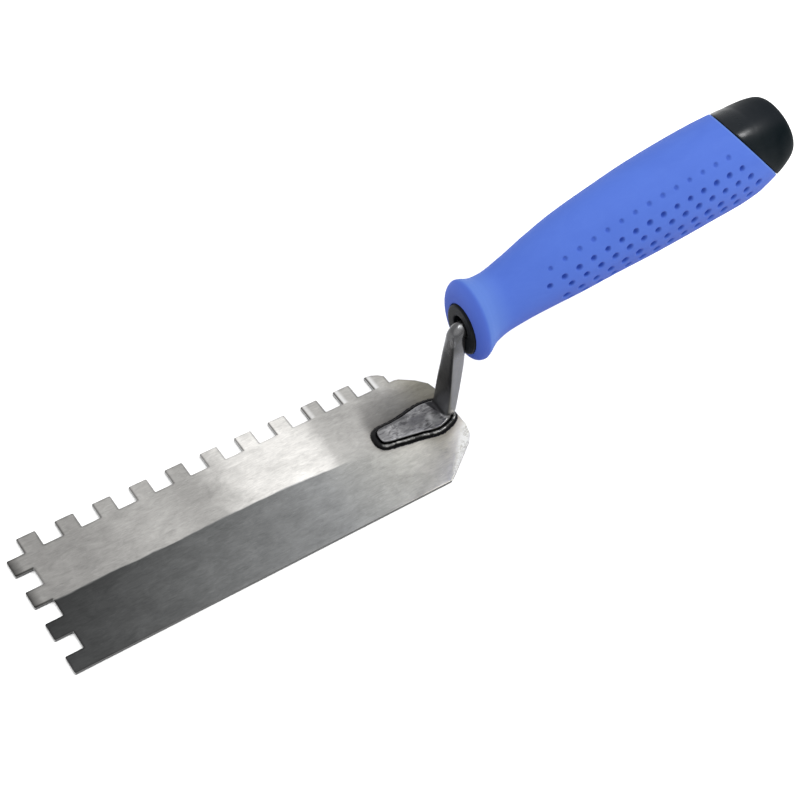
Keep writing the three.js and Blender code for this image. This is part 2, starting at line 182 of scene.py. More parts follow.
# =====================================================================  shader helpers
class Shader:
    def __init__(self, name):
        self.mat = bpy.data.materials.new(name)
        self.mat.use_nodes = True
        self.nt = self.mat.node_tree
        self.nt.nodes.clear()
        out = self.nt.nodes.new("ShaderNodeOutputMaterial")
        self.bsdf = self.nt.nodes.new("ShaderNodeBsdfPrincipled")
        self.nt.links.new(self.bsdf.outputs[0], out.inputs[0])
        tc = self.nt.nodes.new("ShaderNodeTexCoord")
        self.mm = self.vec("MULTIPLY", tc.outputs["Object"], (1000, 1000, 1000))

    def put(self, socket, value):
        if isinstance(value, bpy.types.NodeSocket):
            self.nt.links.new(value, socket)
        elif value is not None:
            socket.default_value = value

    def vec(self, op, a, b=None):
        n = self.nt.nodes.new("ShaderNodeVectorMath")
        n.operation = op
        self.put(n.inputs[0], a)
        self.put(n.inputs[1], b)
        return n.outputs[0]

    def math(self, op, a, b=None, c=None, clamp=False):
        n = self.nt.nodes.new("ShaderNodeMath")
        n.operation, n.use_clamp = op, clamp
        for s, v in zip(n.inputs, (a, b, c)):
            self.put(s, v)
        return n.outputs[0]

    def noise(self, scale=(1, 1, 1), detail=3.0, rough=0.55, distortion=0.0, offset=(0, 0, 0), base=None):
        """Noise at object coordinates in mm times scale; mean about 0.5."""
        v = self.vec("MULTIPLY", base or self.mm, scale)
        v = self.vec("ADD", v, offset)
        n = self.nt.nodes.new("ShaderNodeTexNoise")
        self.put(n.inputs["Vector"], v)
        n.inputs["Scale"].default_value = 1.0
        n.inputs["Detail"].default_value = detail
        n.inputs["Roughness"].default_value = rough
        n.inputs["Distortion"].default_value = distortion
        return n.outputs["Fac"]

    def ramp(self, fac, stops, mode="LINEAR"):
        """Colour ramp; a stop is (position, value) or (position, (r, g, b))."""
        n = self.nt.nodes.new("ShaderNodeValToRGB")
        n.color_ramp.interpolation = mode
        while len(n.color_ramp.elements) > 1:
            n.color_ramp.elements.remove(n.color_ramp.elements[0])
        for i, (p, c) in enumerate(stops):
            e = n.color_ramp.elements[0] if i == 0 else n.color_ramp.elements.new(p)
            e.position = p
            e.color = (c, c, c, 1) if isinstance(c, (int, float)) else (*c, 1)
        self.put(n.inputs[0], fac)
        return n.outputs[0]

    def mapr(self, x, a, b, c=0.0, d=1.0, smooth=False):
        n = self.nt.nodes.new("ShaderNodeMapRange")
        n.interpolation_type = "SMOOTHSTEP" if smooth else "LINEAR"
        n.clamp = True
        for s, v in zip(n.inputs, (x, a, b, c, d)):
            self.put(s, v)
        return n.outputs[0]

    def mix(self, fac, a, b, mode="MIX"):
        n = self.nt.nodes.new("ShaderNodeMix")
        n.data_type, n.blend_type = "RGBA", mode
        self.put(n.inputs[0], fac)
        for s, v in ((n.inputs[6], a), (n.inputs[7], b)):
            if isinstance(v, (int, float)):
                v = (v, v, v, 1)
            elif isinstance(v, tuple) and len(v) == 3:
                v = (*v, 1)
            self.put(s, v)
        return n.outputs[2]

    def attr(self, name):
        n = self.nt.nodes.new("ShaderNodeAttribute")
        n.attribute_name = name
        return n.outputs["Fac"]

    def xyz(self, v=None):
        n = self.nt.nodes.new("ShaderNodeSeparateXYZ")
        self.put(n.inputs[0], v or self.mm)
        return n.outputs

    def normal_z(self):
        g = self.nt.nodes.new("ShaderNodeNewGeometry")
        return self.xyz(g.outputs["Normal"])[2]

    def bump(self, height, distance_mm, strength=1.0, chain=None):
        n = self.nt.nodes.new("ShaderNodeBump")
        n.inputs["Strength"].default_value = strength
        n.inputs["Distance"].default_value = distance_mm * MM
        self.put(n.inputs["Height"], height)
        if chain is not None:
            self.put(n.inputs["Normal"], chain)
        return n.outputs[0]

    def set(self, **kw):
        for k, v in kw.items():
            self.put(self.bsdf.inputs[k.replace("_", " ")], v)
        return self.mat


def srgb(h):
    """Linear colour of a #rrggbb value."""
    c = [int(h[i:i + 2], 16) / 255 for i in (1, 3, 5)]
    return tuple(x / 12.92 if x <= 0.04045 else ((x + 0.055) / 1.055) ** 2.4 for x in c)


def grey(v):
    """Linear value of an sRGB grey 0..255."""
    v /= 255
    return v / 12.92 if v <= 0.04045 else ((v + 0.055) / 1.055) ** 2.4


# =====================================================================  materials
def steel_material():
    """Brushed blade steel: two ground zones that meet on the centre line, each toned along its length by painted
    reflection, soot and heat tint round the weld.
    """
    s = Shader("brushed_blade_steel")
    x, y, z = s.xyz()
    wob = s.noise((0.09, 0.5, 0.5), 2, 0.5)
    fine = s.noise((0.05, 5.0, 1.0), 4, 0.62)                    # long fine brushing
    hair = s.noise((0.12, 14.0, 1.0), 2, 0.6, offset=(3, 7, 0))   # hairline scratches
    dash = s.noise((0.42, 2.4, 1.0), 3, 0.6, 0.6, offset=(6, 1, 3))   # short strokes of the grinding belt
    patch = s.noise((0.10, 0.16, 0.1), 4, 0.6, 0.6)               # cloudy mottling
    broad = s.noise((0.03, 0.05, 0.03), 2, 0.5, offset=(9, 2, 4))
    diag = s.noise((0.22, 0.5, 0.2), 3, 0.6, 1.2, offset=(1, 5, 2))

    X = s.math("ADD", x, s.mapr(patch, 0.3, 0.7, -1.6, 1.6))
    f = s.mapr(X, -75, 75)

    def at(mm_x):
        return (mm_x + 75) / 150

    # the tone along each zone is painted reflection: a painted highlight through the middle of the toothed half, and in
    # the plain half a painted reflection running from dark at the front to light at the rear
    light = s.ramp(f, [(at(-72), 0.235), (at(-56), 0.242), (at(-44), 0.275), (at(-33), 0.355), (at(-24), 0.355), (at(-17), 0.270),
                       (at(-9), 0.345), (at(-2), 0.58), (at(5), 0.685), (at(24), 0.705), (at(28), 0.65), (at(31.5), 0.40), (at(38), 0.375),
                       (at(52), 0.40), (at(70), 0.42)], "B_SPLINE")
    dark = s.ramp(f, [(at(-72), 0.036), (at(-60), 0.043), (at(-45), 0.066), (at(-30), 0.090), (at(-15), 0.134), (at(0), 0.162),
                      (at(15), 0.208), (at(30), 0.272), (at(45), 0.365), (at(57), 0.56), (at(72), 0.76)], "B_SPLINE")
    # the plain half is a little lighter towards its edge at the front end, and darkest along the line
    edge_lift = s.math("MULTIPLY", s.mapr(y, -3, -22), s.mapr(x, 10, -60, 0.0, 0.35))
    by_line = s.mapr(y, -5.5, -0.5, 1.0, 0.90, True)
    dark = s.mix(1.0, dark, s.math("MULTIPLY", s.math("ADD", 1.0, edge_lift), by_line), "MULTIPLY")
    # grinding line between the zones, fading out by the foot
    yl = s.math("ADD", y, s.mapr(wob, 0.25, 0.75, -0.35, 0.35))
    yl = s.math("ADD", yl, s.mapr(x, 10, 45, 0.3, 2.6))
    zone = s.mapr(yl, -0.35, 0.35, 0, 1, True)
    soft = s.mapr(yl, -6.0, 6.0, 0, 1, True)
    zone = s.mix(s.mapr(x, 26, 40, 0, 1, True), zone, soft)
    col = s.mix(zone, dark, light)
    # cloudy mottling and brushing
    mott = s.math("MULTIPLY_ADD", s.math("SUBTRACT", patch, 0.5), 0.50, 1.0)
    mott = s.math("MULTIPLY_ADD", s.math("SUBTRACT", diag, 0.5), 0.46, mott)
    brush = s.math("MULTIPLY_ADD", s.math("SUBTRACT", fine, 0.5), 0.26, mott)
    brush = s.math("MULTIPLY_ADD", s.math("SUBTRACT", hair, 0.5), 0.22, brush)
    brush = s.math("MULTIPLY_ADD", s.math("SUBTRACT", dash, 0.5), 0.34, brush)
    nick = s.noise((0.55, 3.6, 1.0), 2, 0.5, 0.3, offset=(2, 8, 6))   # isolated bright and dark nicks
    brush = s.math("ADD", brush, s.mapr(nick, 0.66, 0.74, 0, 0.22))
    brush = s.math("ADD", brush, s.mapr(nick, 0.34, 0.27, 0, -0.16))
    col = s.mix(1.0, col, brush, "MULTIPLY")
    # painted reflection tint: a warm tint towards the rear of the plain half offsets the handle's blue reflection
    # there; the toothed half gets a slight warm tint
    cool = s.mix(s.mapr(x, 20, 62), (0.975, 0.995, 1.0, 1), (1.03, 1.0, 0.90, 1))
    warm = s.mix(zone, cool, (1.02, 1.0, 0.965, 1))
    col = s.mix(1.0, col, warm, "MULTIPLY")
    # painted shade beside the shank on the toothed half, standing in for the handle's shadow and dark reflection
    px = s.mapr(s.math("ADD", s.math("SUBTRACT", x, s.mapr(y, 3, 18, 0, 2.2)), s.mapr(broad, 0.3, 0.7, -1.6, 1.6)), 43.0, 48.0, 0, 1, True)
    py = s.mapr(s.math("ADD", y, s.mapr(patch, 0.3, 0.7, -1.5, 1.5)), 21.5, 13.0, 0, 1, True)
    pn = s.mapr(y, -2.0, 1.5, 0, 1, True)
    shade = s.math("MULTIPLY", s.math("MULTIPLY", px, py), pn)
    near = s.mapr(y, 17, 5, 0.74, 0.27)
    near = s.math("MULTIPLY", near, s.mapr(x, 47.5, 55, 1.0, 0.74, True))
    col = s.mix(s.math("MULTIPLY", shade, s.mapr(patch, 0.25, 0.75, 0.7, 1.0)), col, s.mix(1.0, col, near, "MULTIPLY"))
    # painted whitish sheen along the rear edge
    col = s.mix(s.mapr(x, 58, 72, 0, 1, True), col, s.mix(1.0, col, s.mix(s.mapr(y, 6, -4), (0.86, 0.84, 0.74), (1.0, 0.965, 0.83)), "MULTIPLY"))
    rear = s.math("MULTIPLY", s.mapr(s.math("ADD", x, s.math("MULTIPLY", y, -0.35)), 68, 76, 0, 1, True), s.mapr(y, 2, -4, 0, 1, True))
    col = s.mix(s.math("MULTIPLY", rear, 0.55), col, 0.86)
    # pale flaky film left along the cut-off rear corner, brightened as a painted sheen
    flake = s.noise((0.55, 0.55, 0.55), 4, 0.7, 1.4, offset=(3, 1, 7))
    cut = s.math("ADD", s.math("SUBTRACT", s.math("MULTIPLY", x, 0.71), s.math("MULTIPLY", y, 0.70)), s.mapr(flake, 0.3, 0.7, -0.7, 0.7))
    film_and_painted_sheen = s.math("MULTIPLY", s.math("MULTIPLY", s.mapr(cut, 57.2, 58.9, 0, 1, True), s.mapr(x, 56, 61, 0, 1, True)), s.mapr(y, -5.5, -9, 0, 1, True))
    col = s.mix(s.math("MULTIPLY", film_and_painted_sheen, 0.85), col, s.mix(s.mapr(flake, 0.40, 0.54, 0, 1, True), (0.42, 0.41, 0.37), (0.70, 0.70, 0.665)))
    # soot and burnt film round the weld
    d = s.attr("weld_dist")
    dj = s.math("ADD", d, s.mapr(s.noise((0.9, 0.9, 0.9), 3, 0.6), 0.2, 0.8, -0.25, 0.25))
    soot = s.mapr(dj, 2.55, 2.15, 0, 1, True)
    haze = s.mapr(dj, 5.5, 2.2, 0, 1, True)
    heel = s.math("MULTIPLY", s.mapr(x, 64, 69, 0, 1, True), s.mapr(y, -2, -5, 0, 1, True))
    col = s.mix(s.math("MULTIPLY", haze, s.math("MULTIPLY_ADD", heel, 0.55, 0.28)), col, s.mix(1.0, col, (0.55, 0.52, 0.50), "MULTIPLY"))
    col = s.mix(soot, col, (0.012, 0.012, 0.013))
    # painted shade where the toothed half rolls off towards the leading edge; each tooth has painted shade on its
    # arris, a painted highlight strip behind it and painted shade at its rear edge
    fall = s.math("MULTIPLY", s.mapr(x, -71.6, -75.0, 0, 1), zone)
    col = s.mix(fall, col, s.mix(1.0, col, 0.24, "MULTIPLY"))
    u = s.math("MULTIPLY", s.math("FRACT", s.math("DIVIDE", s.math("ADD", x, 69.1), 12.6)), 12.6)
    tip = s.mapr(y, 18.7, 19.2, 0, 1, True)
    arris = s.math("MULTIPLY", s.mapr(u, 0.75, 0.30, 0, 1, True), tip)
    strip = s.math("MULTIPLY", s.math("MULTIPLY", s.mapr(u, 0.55, 0.95, 0, 1, True), s.mapr(u, 2.7, 1.3, 0, 1, True)), tip)
    tail = s.math("MULTIPLY", s.math("MULTIPLY", s.mapr(u, 5.5, 6.1, 0, 1, True), s.mapr(u, 7.2, 6.4, 0, 1, True)), tip)
    col = s.mix(s.math("MULTIPLY", strip, s.mapr(x, 24, 36, 0.12, 0.70)), col, s.mix(s.mapr(x, 24, 36), s.mix(1.0, col, 1.5, "MULTIPLY"), 0.80))
    col = s.mix(s.math("MULTIPLY", arris, s.mapr(x, -10, 10, 0.45, 0.80)), col, s.mix(1.0, col, 0.16, "MULTIPLY"))
    col = s.mix(s.math("MULTIPLY", tail, s.mapr(x, -20, 10, 0.0, 0.55)), col, s.mix(1.0, col, 0.40, "MULTIPLY"))
    # painted shade along the near edge of each front tooth
    v = s.math("MULTIPLY", s.math("FRACT", s.math("DIVIDE", s.math("ADD", y, 25.0), 12.6)), 12.6)
    lower = s.math("MULTIPLY", s.math("MULTIPLY", s.mapr(v, 0.8, 0.35, 0, 1, True), s.mapr(x, -68.8, -69.3, 0, 1, True)), zone)
    col = s.mix(s.math("MULTIPLY", lower, 0.85), col, s.mix(1.0, col, 0.20, "MULTIPLY"))
    # darker run-off just inside the cut edges, painted shade of the rolled-off edge
    e = s.attr("edge")
    col = s.mix(s.math("MULTIPLY", s.math("POWER", e, 1.6), s.mapr(x, -60, -20, 0.62, 0.30)), col, s.mix(1.0, col, 0.35, "MULTIPLY"))
    rough = s.math("MULTIPLY_ADD", s.math("SUBTRACT", fine, 0.5), 0.16, 0.36)
    rough = s.math("ADD", rough, s.math("MULTIPLY", soot, 0.2))
    h = s.math("MULTIPLY_ADD", hair, 0.4, s.math("MULTIPLY_ADD", dash, 0.8, s.math("MULTIPLY", fine, 0.6)))
    nrm = s.bump(h, 0.012, 0.45)
    nrm = s.bump(patch, 0.05, 0.35, nrm)
    s.set(Base_Color=col, Metallic=s.math("MULTIPLY_ADD", film_and_painted_sheen, -0.62, 1.0), Roughness=rough, Normal=nrm, Anisotropic=0.35)
    return s.mat


def cut_edge_material():
    """Sheared walls of the blade: bright burnished band below the top edge, rougher below."""
    s = Shader("cut_steel_edge")
    x, y, z = s.xyz()
    v = s.noise((2.2, 2.2, 0.25), 3, 0.6)
    band = s.mapr(s.math("ADD", z, s.mapr(v, 0.3, 0.7, -0.12, 0.12)), 0.35, 0.75, 0, 1, True)
    nx = s.nt.nodes.new("ShaderNodeNewGeometry")
    n = s.xyz(nx.outputs["Normal"])
    front = s.mapr(n[0], -0.35, -0.85, 0, 1, True)        # walls facing the leading side are painted brighter, and walls facing the near side darker: painted light and shade by facing
    near = s.mapr(n[1], -0.35, -0.85, 0, 1, True)
    base = s.mix(front, s.mix(near, s.mix(band, 0.10, 0.17), s.mix(band, 0.075, 0.12)), s.mix(band, 0.30, 0.40))
    col = s.mix(1.0, base, s.mapr(v, 0.2, 0.8, 0.82, 1.1), "MULTIPLY")
    nrm = s.bump(v, 0.05, 0.5)
    s.set(Base_Color=col, Metallic=1.0, Roughness=s.mapr(v, 0.2, 0.8, 0.36, 0.5), Normal=nrm)
    return s.mat


def shank_material():
    """Gunmetal paint over a forging: orange peel, faint streaks, painted light and shade by facing, painted highlights
    and shade on the bend.
    """
    s = Shader("gunmetal_shank_paint")
    x, y, z = s.xyz()
    peel = s.noise((1.4, 1.4, 1.4), 3, 0.55)
    lump = s.noise((0.22, 0.22, 0.16), 3, 0.55, offset=(4, 1, 8))
    streak = s.noise((0.5, 0.35, 0.05), 3, 0.6, offset=(2, 2, 2))
    speck = s.noise((3.2, 3.2, 3.2), 2, 0.5, offset=(7, 7, 1))
    base = s.mix(s.mapr(lump, 0.3, 0.7), (0.135, 0.137, 0.145), (0.205, 0.206, 0.212))
    base = s.mix(s.mapr(streak, 0.35, 0.75, 0, 0.5), base, (0.25, 0.25, 0.255))
    up = s.mapr(s.normal_z(), 0.35, 0.75, 0, 1, True)
    low = s.mapr(z, 4.0, 3.3, 0, 1, True)
    foot = s.math("MULTIPLY", up, low)
    mott = s.noise((0.30, 0.55, 0.3), 4, 0.68, 1.2, offset=(0, 3, 3))
    stroke = s.noise((0.7, 2.4, 0.4), 3, 0.6, 0.8, offset=(5, 3, 9))
    tone = s.math("ADD", s.math("MULTIPLY_ADD", s.math("SUBTRACT", stroke, 0.5), 0.32, mott), s.mapr(x, 50, 66, 0.05, -0.05))
    footc = s.ramp(tone, [(0.30, (0.070, 0.069, 0.074)), (0.42, (0.130, 0.129, 0.135)), (0.52, (0.185, 0.185, 0.191)), (0.62, (0.250, 0.250, 0.255)),
                          (0.74, (0.42, 0.42, 0.425))])
    g = s.nt.nodes.new("ShaderNodeNewGeometry")
    nn = s.xyz(g.outputs["Normal"])
    # painted light and shade by facing: the leading face is painted dark, lighter low down, and the flat sides are held
    # at an even grey
    lead = s.math("MULTIPLY", s.mapr(nn[0], -0.45, -0.85, 0, 1, True), s.mapr(z, 36, 30, 0.2, 1.0))
    flank = s.mapr(s.math("ABSOLUTE", nn[1]), 0.55, 0.95, 0, 1, True)
    base = s.mix(s.math("MULTIPLY", flank, 0.60), base, (0.135, 0.136, 0.141))
    base = s.mix(s.math("MULTIPLY", lead, 0.90), base, s.mix(s.mapr(z, 18, 8), (0.0145, 0.015, 0.0178), (0.125, 0.127, 0.136)))
    # painted shade darkens the bend
    base = s.mix(s.mapr(z, 29, 35, 0, 0.72, True), base, s.mix(1.0, base, 0.30, "MULTIPLY"))
    # painted highlights on the crown of the bend and on its front corner, and a painted shade spot on its near flank

    def painted_light_mask(cx, cy, cz, rx, ry, rz):
        q = [s.math("DIVIDE", s.math("SUBTRACT", a, b), r) for a, b, r in ((x, cx, rx), (y, cy, ry), (z, cz, rz))]
        dd = s.math("ADD", s.math("ADD", s.math("MULTIPLY", q[0], q[0]), s.math("MULTIPLY", q[1], q[1])), s.math("MULTIPLY", q[2], q[2]))
        return s.mapr(s.math("ADD", dd, s.mapr(peel, 0.3, 0.7, -0.15, 0.15)), 0.15, 1.5, 1, 0, True)

    base = s.mix(s.math("MULTIPLY", painted_light_mask(71.2, -0.9, 41.4, 1.7, 1.0, 1.9), 0.62), base, (0.20, 0.20, 0.205))
    base = s.mix(s.math("MULTIPLY", painted_light_mask(72.25, -0.55, 42.35, 1.05, 0.75, 0.95), 0.9), base, (0.25, 0.255, 0.26))
    base = s.mix(s.math("MULTIPLY", painted_light_mask(69.6, -1.5, 36.7, 1.3, 0.95, 2.0), 0.8), base, (0.20, 0.20, 0.21))
    base = s.mix(s.math("MULTIPLY", painted_light_mask(70.9, -2.7, 38.9, 1.2, 0.9, 1.8), 0.6), base, (0.055, 0.056, 0.058))
    # painted highlight along the foot's top rim
    rim = s.attr("rim")
    footc = s.mix(s.math("MULTIPLY", rim, s.mapr(mott, 0.38, 0.62, 0.05, 0.60)), footc, (0.33, 0.33, 0.34))
    ex, ey = s.math("DIVIDE", s.math("SUBTRACT", x, 60.8), 4.2), s.math("DIVIDE", s.math("ADD", y, 0.1), 1.9)
    blot = s.mapr(s.math("ADD", s.math("ADD", s.math("MULTIPLY", ex, ex), s.math("MULTIPLY", ey, ey)), s.mapr(mott, 0.3, 0.7, 0.5, -0.5)), 0.2, 1.3, 1, 0, True)
    footc = s.mix(s.math("MULTIPLY", blot, 0.72), footc, (0.075, 0.074, 0.082))
    pale = s.math("MULTIPLY", s.mapr(x, 56, 50, 0, 1, True), s.mapr(tone, 0.42, 0.56, 0, 0.46))
    footc = s.mix(pale, footc, (0.36, 0.358, 0.364))

    def patch(cx, cy, rx, ry):
        a, b = s.math("DIVIDE", s.math("SUBTRACT", x, cx), rx), s.math("DIVIDE", s.math("SUBTRACT", y, cy), ry)
        dd = s.math("ADD", s.math("MULTIPLY", a, a), s.math("MULTIPLY", b, b))
        return s.mapr(s.math("ADD", dd, s.mapr(mott, 0.3, 0.7, 0.35, -0.35)), 0.2, 1.5, 1, 0, True)

    # brighter beside the neck, darker on the toe and along the far edge
    footc = s.mix(s.math("MULTIPLY", patch(65.9, -2.7, 2.7, 2.9), 0.60), footc, (0.34, 0.34, 0.346))
    footc = s.mix(s.math("MULTIPLY", patch(56.0, -1.3, 2.3, 1.4), 0.45), footc, (0.095, 0.095, 0.099))
    footc = s.mix(s.mapr(x, 50.6, 48.2, 0, 0.50, True), footc, (0.11, 0.11, 0.114))
    footc = s.mix(s.math("MULTIPLY", s.mapr(y, 1.9, 2.8, 0, 0.80, True), s.mapr(x, 61, 57, 0, 1, True)), footc, (0.050, 0.050, 0.053))
    base = s.mix(foot, base, footc)
    # painted shade in the crease where the neck leaves the foot
    crease = s.math("MULTIPLY", s.mapr(z, 5.0, 3.4, 0, 1, True), s.math("MULTIPLY", s.mapr(s.math("ADD", x, s.math("MULTIPLY", y, 0.30)), 68.1, 68.9, 0, 1, True), s.mapr(y, -3.6, -2.9, 0, 1, True)))
    base = s.mix(s.math("MULTIPLY", crease, 0.93), base, (0.010, 0.010, 0.012))
    # painted shade low on the foot's side wall, down to the blade
    wall = s.math("MULTIPLY", s.mapr(z, 2.62, 2.40, 0, 1, True), 0.92)
    base = s.mix(wall, base, (0.006, 0.006, 0.007))
    base = s.mix(s.mapr(speck, 0.68, 0.78, 0, 0.35), base, (0.05, 0.05, 0.055))
    rough = s.math("MULTIPLY_ADD", s.math("SUBTRACT", peel, 0.5), 0.18, s.mapr(z, 28, 35, 0.32, 0.22))
    nrm = s.bump(peel, 0.035, 0.25)
    nrm = s.bump(lump, 0.35, 0.5, nrm)
    # painted shade on the near-side rolled top edge towards the heel
    roll = s.math("MULTIPLY", s.math("MULTIPLY", s.mapr(nn[1], -0.08, -0.35, 0, 1, True), s.mapr(x, 61, 65, 0, 1, True)), s.mapr(z, 3.3, 3.1))
    base = s.mix(s.math("MULTIPLY", roll, 0.75), base, (0.085, 0.084, 0.082))
    # the dull rolled edge on the toothed side of the foot
    dull = s.math("MULTIPLY", s.mapr(nn[1], 0.10, 0.45, 0, 1, True), s.math("MULTIPLY", s.mapr(z, 2.45, 2.65), s.mapr(z, 3.3, 3.1)))
    s.set(Base_Color=base, Metallic=s.math("MULTIPLY_ADD", dull, -0.75, 0.9), Roughness=rough, Normal=nrm, Coat_Weight=0.06, Coat_Roughness=0.22)
    return s.mat


def weld_material():
    """Painted weld bead: black in the toes, dull metallic on the crown with painted bright broken glints."""
    s = Shader("painted_weld_bead")
    x, y, z = s.xyz()
    v = s.noise((0.9, 0.9, 0.9), 4, 0.6, 0.5)
    w = s.noise((0.45, 0.45, 0.45), 3, 0.6, 0.4, offset=(5, 5, 5))
    crown = s.attr("crown")
    base = s.mix(s.mapr(crown, 0.15, 0.75, 0, 1, True), (0.004, 0.004, 0.0045), s.mix(s.mapr(w, 0.35, 0.65), (0.045, 0.045, 0.045), (0.28, 0.28, 0.27)))
    base = s.mix(s.mapr(v, 0.60, 0.74, 0, 0.8), base, (0.012, 0.012, 0.013))
    nrm = s.bump(v, 0.16, 0.6)
    s.set(Base_Color=base, Metallic=s.mapr(crown, 0.1, 0.6, 0.05, 0.9), Roughness=s.mapr(w, 0.3, 0.7, 0.26, 0.44), Normal=nrm, Specular_IOR_Level=0.10)
    return s.mat


def core_material():
    """Moulded black nylon of the handle's hard core: fine spark texture, faint flow marks."""
    s = Shader("moulded_black_core")
    grain = s.noise((5.5, 5.5, 5.5), 2, 0.5)
    flow = s.noise((0.3, 0.12, 0.3), 3, 0.5, 1.5)
    base = s.mix(s.mapr(flow, 0.3, 0.7), srgb("#0b0d10"), srgb("#13161a"))
    nrm = s.bump(grain, 0.03, 0.4)
    nrm = s.bump(flow, 0.2, 0.25, nrm)
    s.set(Base_Color=base, Roughness=s.mapr(grain, 0.3, 0.7, 0.38, 0.5), Normal=nrm, Specular_IOR_Level=0.05)
    return s.mat


def grip_material():
    """Blue thermoplastic rubber: very fine matte grain, soft tonal drift, painted shade in the dimples, on the lip's
    face and underneath, painted highlights on the lip's crest and the joint edge.
    """
    s = Shader("blue_soft_grip")
    grain = s.noise((4.2, 4.2, 4.2), 3, 0.6)
    micro = s.noise((11.0, 11.0, 11.0), 2, 0.5, offset=(3, 1, 1))
    drift = s.noise((0.035, 0.05, 0.05), 3, 0.5, 0.4)
    smudge = s.noise((0.12, 0.3, 0.3), 3, 0.6, 0.8, offset=(8, 0, 2))
    base = s.mix(s.mapr(drift, 0.3, 0.7), (0.0540, 0.1110, 0.420), (0.0628, 0.1265, 0.460))
    base = s.mix(s.mapr(smudge, 0.45, 0.8, 0, 0.18), base, (0.082, 0.157, 0.495))
    base = s.mix(s.mapr(grain, 0.25, 0.75, 0, 0.14), base, (0.043, 0.089, 0.360))
    # painted shade in the dimples
    dim = s.attr("dimple")
    base = s.mix(s.math("MULTIPLY", dim, 0.80, clamp=True), base, (0.008, 0.036, 0.285))
    # painted shade on the lip's face
    lip = s.attr("lip")
    base = s.mix(s.math("MULTIPLY", lip, 0.45), base, (0.055, 0.092, 0.405))
    # painted highlight on the lip's crest and on the rolled edge at the joint
    base = s.mix(s.math("MULTIPLY", s.attr("crest"), 0.95, clamp=True), base, (0.077, 0.148, 0.425))
    # painted shade on the underside
    under = s.mapr(s.normal_z(), 0.25, -0.55, 0, 1, True)
    base = s.mix(s.math("MULTIPLY", under, 0.72), base, (0.034, 0.060, 0.300))
    nrm = s.bump(grain, 0.035, 0.35)
    nrm = s.bump(micro, 0.012, 0.3, nrm)
    s.set(Base_Color=base, Roughness=s.mapr(grain, 0.25, 0.75, 0.58, 0.72), Normal=nrm, Specular_IOR_Level=0.10)
    return s.mat


def cap_material():
    """Satin black end cap: smooth moulding with slight ripple and handling marks."""
    s = Shader("satin_black_cap")
    ripple = s.noise((0.16, 0.22, 0.16), 3, 0.5, 0.5)
    grain = s.noise((7.0, 7.0, 7.0), 2, 0.5)
    rub = s.noise((0.5, 1.6, 1.6), 4, 0.65, offset=(2, 9, 4))
    base = s.mix(s.mapr(ripple, 0.3, 0.7), (0.0016, 0.0040, 0.0054), (0.0034, 0.0060, 0.0078))
    film_and_painted_sheen = s.mapr(s.normal_z(), 0.66, 0.93, 0, 1, True)           # dust and painted sheen on the upper side
    base = s.mix(s.math("MULTIPLY", film_and_painted_sheen, s.mapr(rub, 0.3, 0.7, 0.75, 1.0)), base, (0.0088, 0.0108, 0.0135))
    base = s.mix(s.mapr(rub, 0.6, 0.8, 0, 0.25), base, srgb("#24282c"))
    nrm = s.bump(ripple, 0.3, 0.25)
    nrm = s.bump(grain, 0.012, 0.3, nrm)
    s.set(Base_Color=base, Roughness=s.math("ADD", s.mapr(rub, 0.3, 0.8, 0.0, 0.10), s.mapr(s.xyz()[0], 174.5, 186, 0.19, 0.50)), Normal=nrm, Specular_IOR_Level=s.mapr(s.xyz()[0], 174.5, 188, 0.095, 0.022))
    return s.mat


def floor_material():
    s = Shader("pale_studio_floor")
    v = s.noise((0.004, 0.004, 0.004), 2, 0.5)
    s.set(Base_Color=s.mix(v, (0.97, 0.97, 0.97), (0.99, 0.99, 0.99)), Roughness=0.9, Specular_IOR_Level=0.1)
    return s.mat


# =====================================================================  foot outline shared by foot, bead and soot
def foot_curve(count):
    """Closed centripetal Catmull-Rom through the foot's outline: points and unit tangents, evenly spaced."""
    P = np.array(FOOT_LOOP)
    n = len(P)
    dense = []
    for i in range(n):
        p0, p1, p2, p3 = P[(i - 1) % n], P[i], P[(i + 1) % n], P[(i + 2) % n]
        d0, d1, d2 = (max(np.linalg.norm(b - a) ** 0.5, 1e-6) for a, b in ((p0, p1), (p1, p2), (p2, p3)))
        t1 = ((p1 - p0) / d0 - (p2 - p0) / (d0 + d1) + (p2 - p1) / d1) * d1
        t2 = ((p2 - p1) / d1 - (p3 - p1) / (d1 + d2) + (p3 - p2) / d2) * d1
        for u in np.linspace(0, 1, 24, endpoint=False):
            dense.append(p1 + t1 * u + (-3 * p1 + 3 * p2 - 2 * t1 - t2) * u * u + (2 * p1 - 2 * p2 + t1 + t2) * u ** 3)
    D = np.array(dense)
    seg = np.linalg.norm(np.roll(D, -1, 0) - D, axis=1)
    s = np.concatenate([[0], np.cumsum(seg)])
    D2 = np.vstack([D, D[:1]])
    want = np.linspace(0, s[-1], count, endpoint=False)
    Q = np.stack([np.interp(want, s, D2[:, k]) for k in range(2)], -1)
    T = np.roll(Q, -1, 0) - np.roll(Q, 1, 0)
    T /= np.linalg.norm(T, axis=1)[:, None]
    return Q, T


FOOT_Q, FOOT_TG = foot_curve(240)


def foot_offset(d, Q=FOOT_Q, T=FOOT_TG):
    return Q + np.stack([T[:, 1], -T[:, 0]], -1) * d


def foot_distance(P):
    """Distance outside the foot's outline (0 inside) of XY points."""
    d = np.sqrt(((P[:, None, :2] - FOOT_Q[None]) ** 2).sum(-1))
    k = d.argmin(1)
    side = ((P[:, :2] - FOOT_Q[k]) * np.stack([FOOT_TG[k, 1], -FOOT_TG[k, 0]], -1)).sum(1)
    return np.where(side > 0, d.min(1), 0.0)


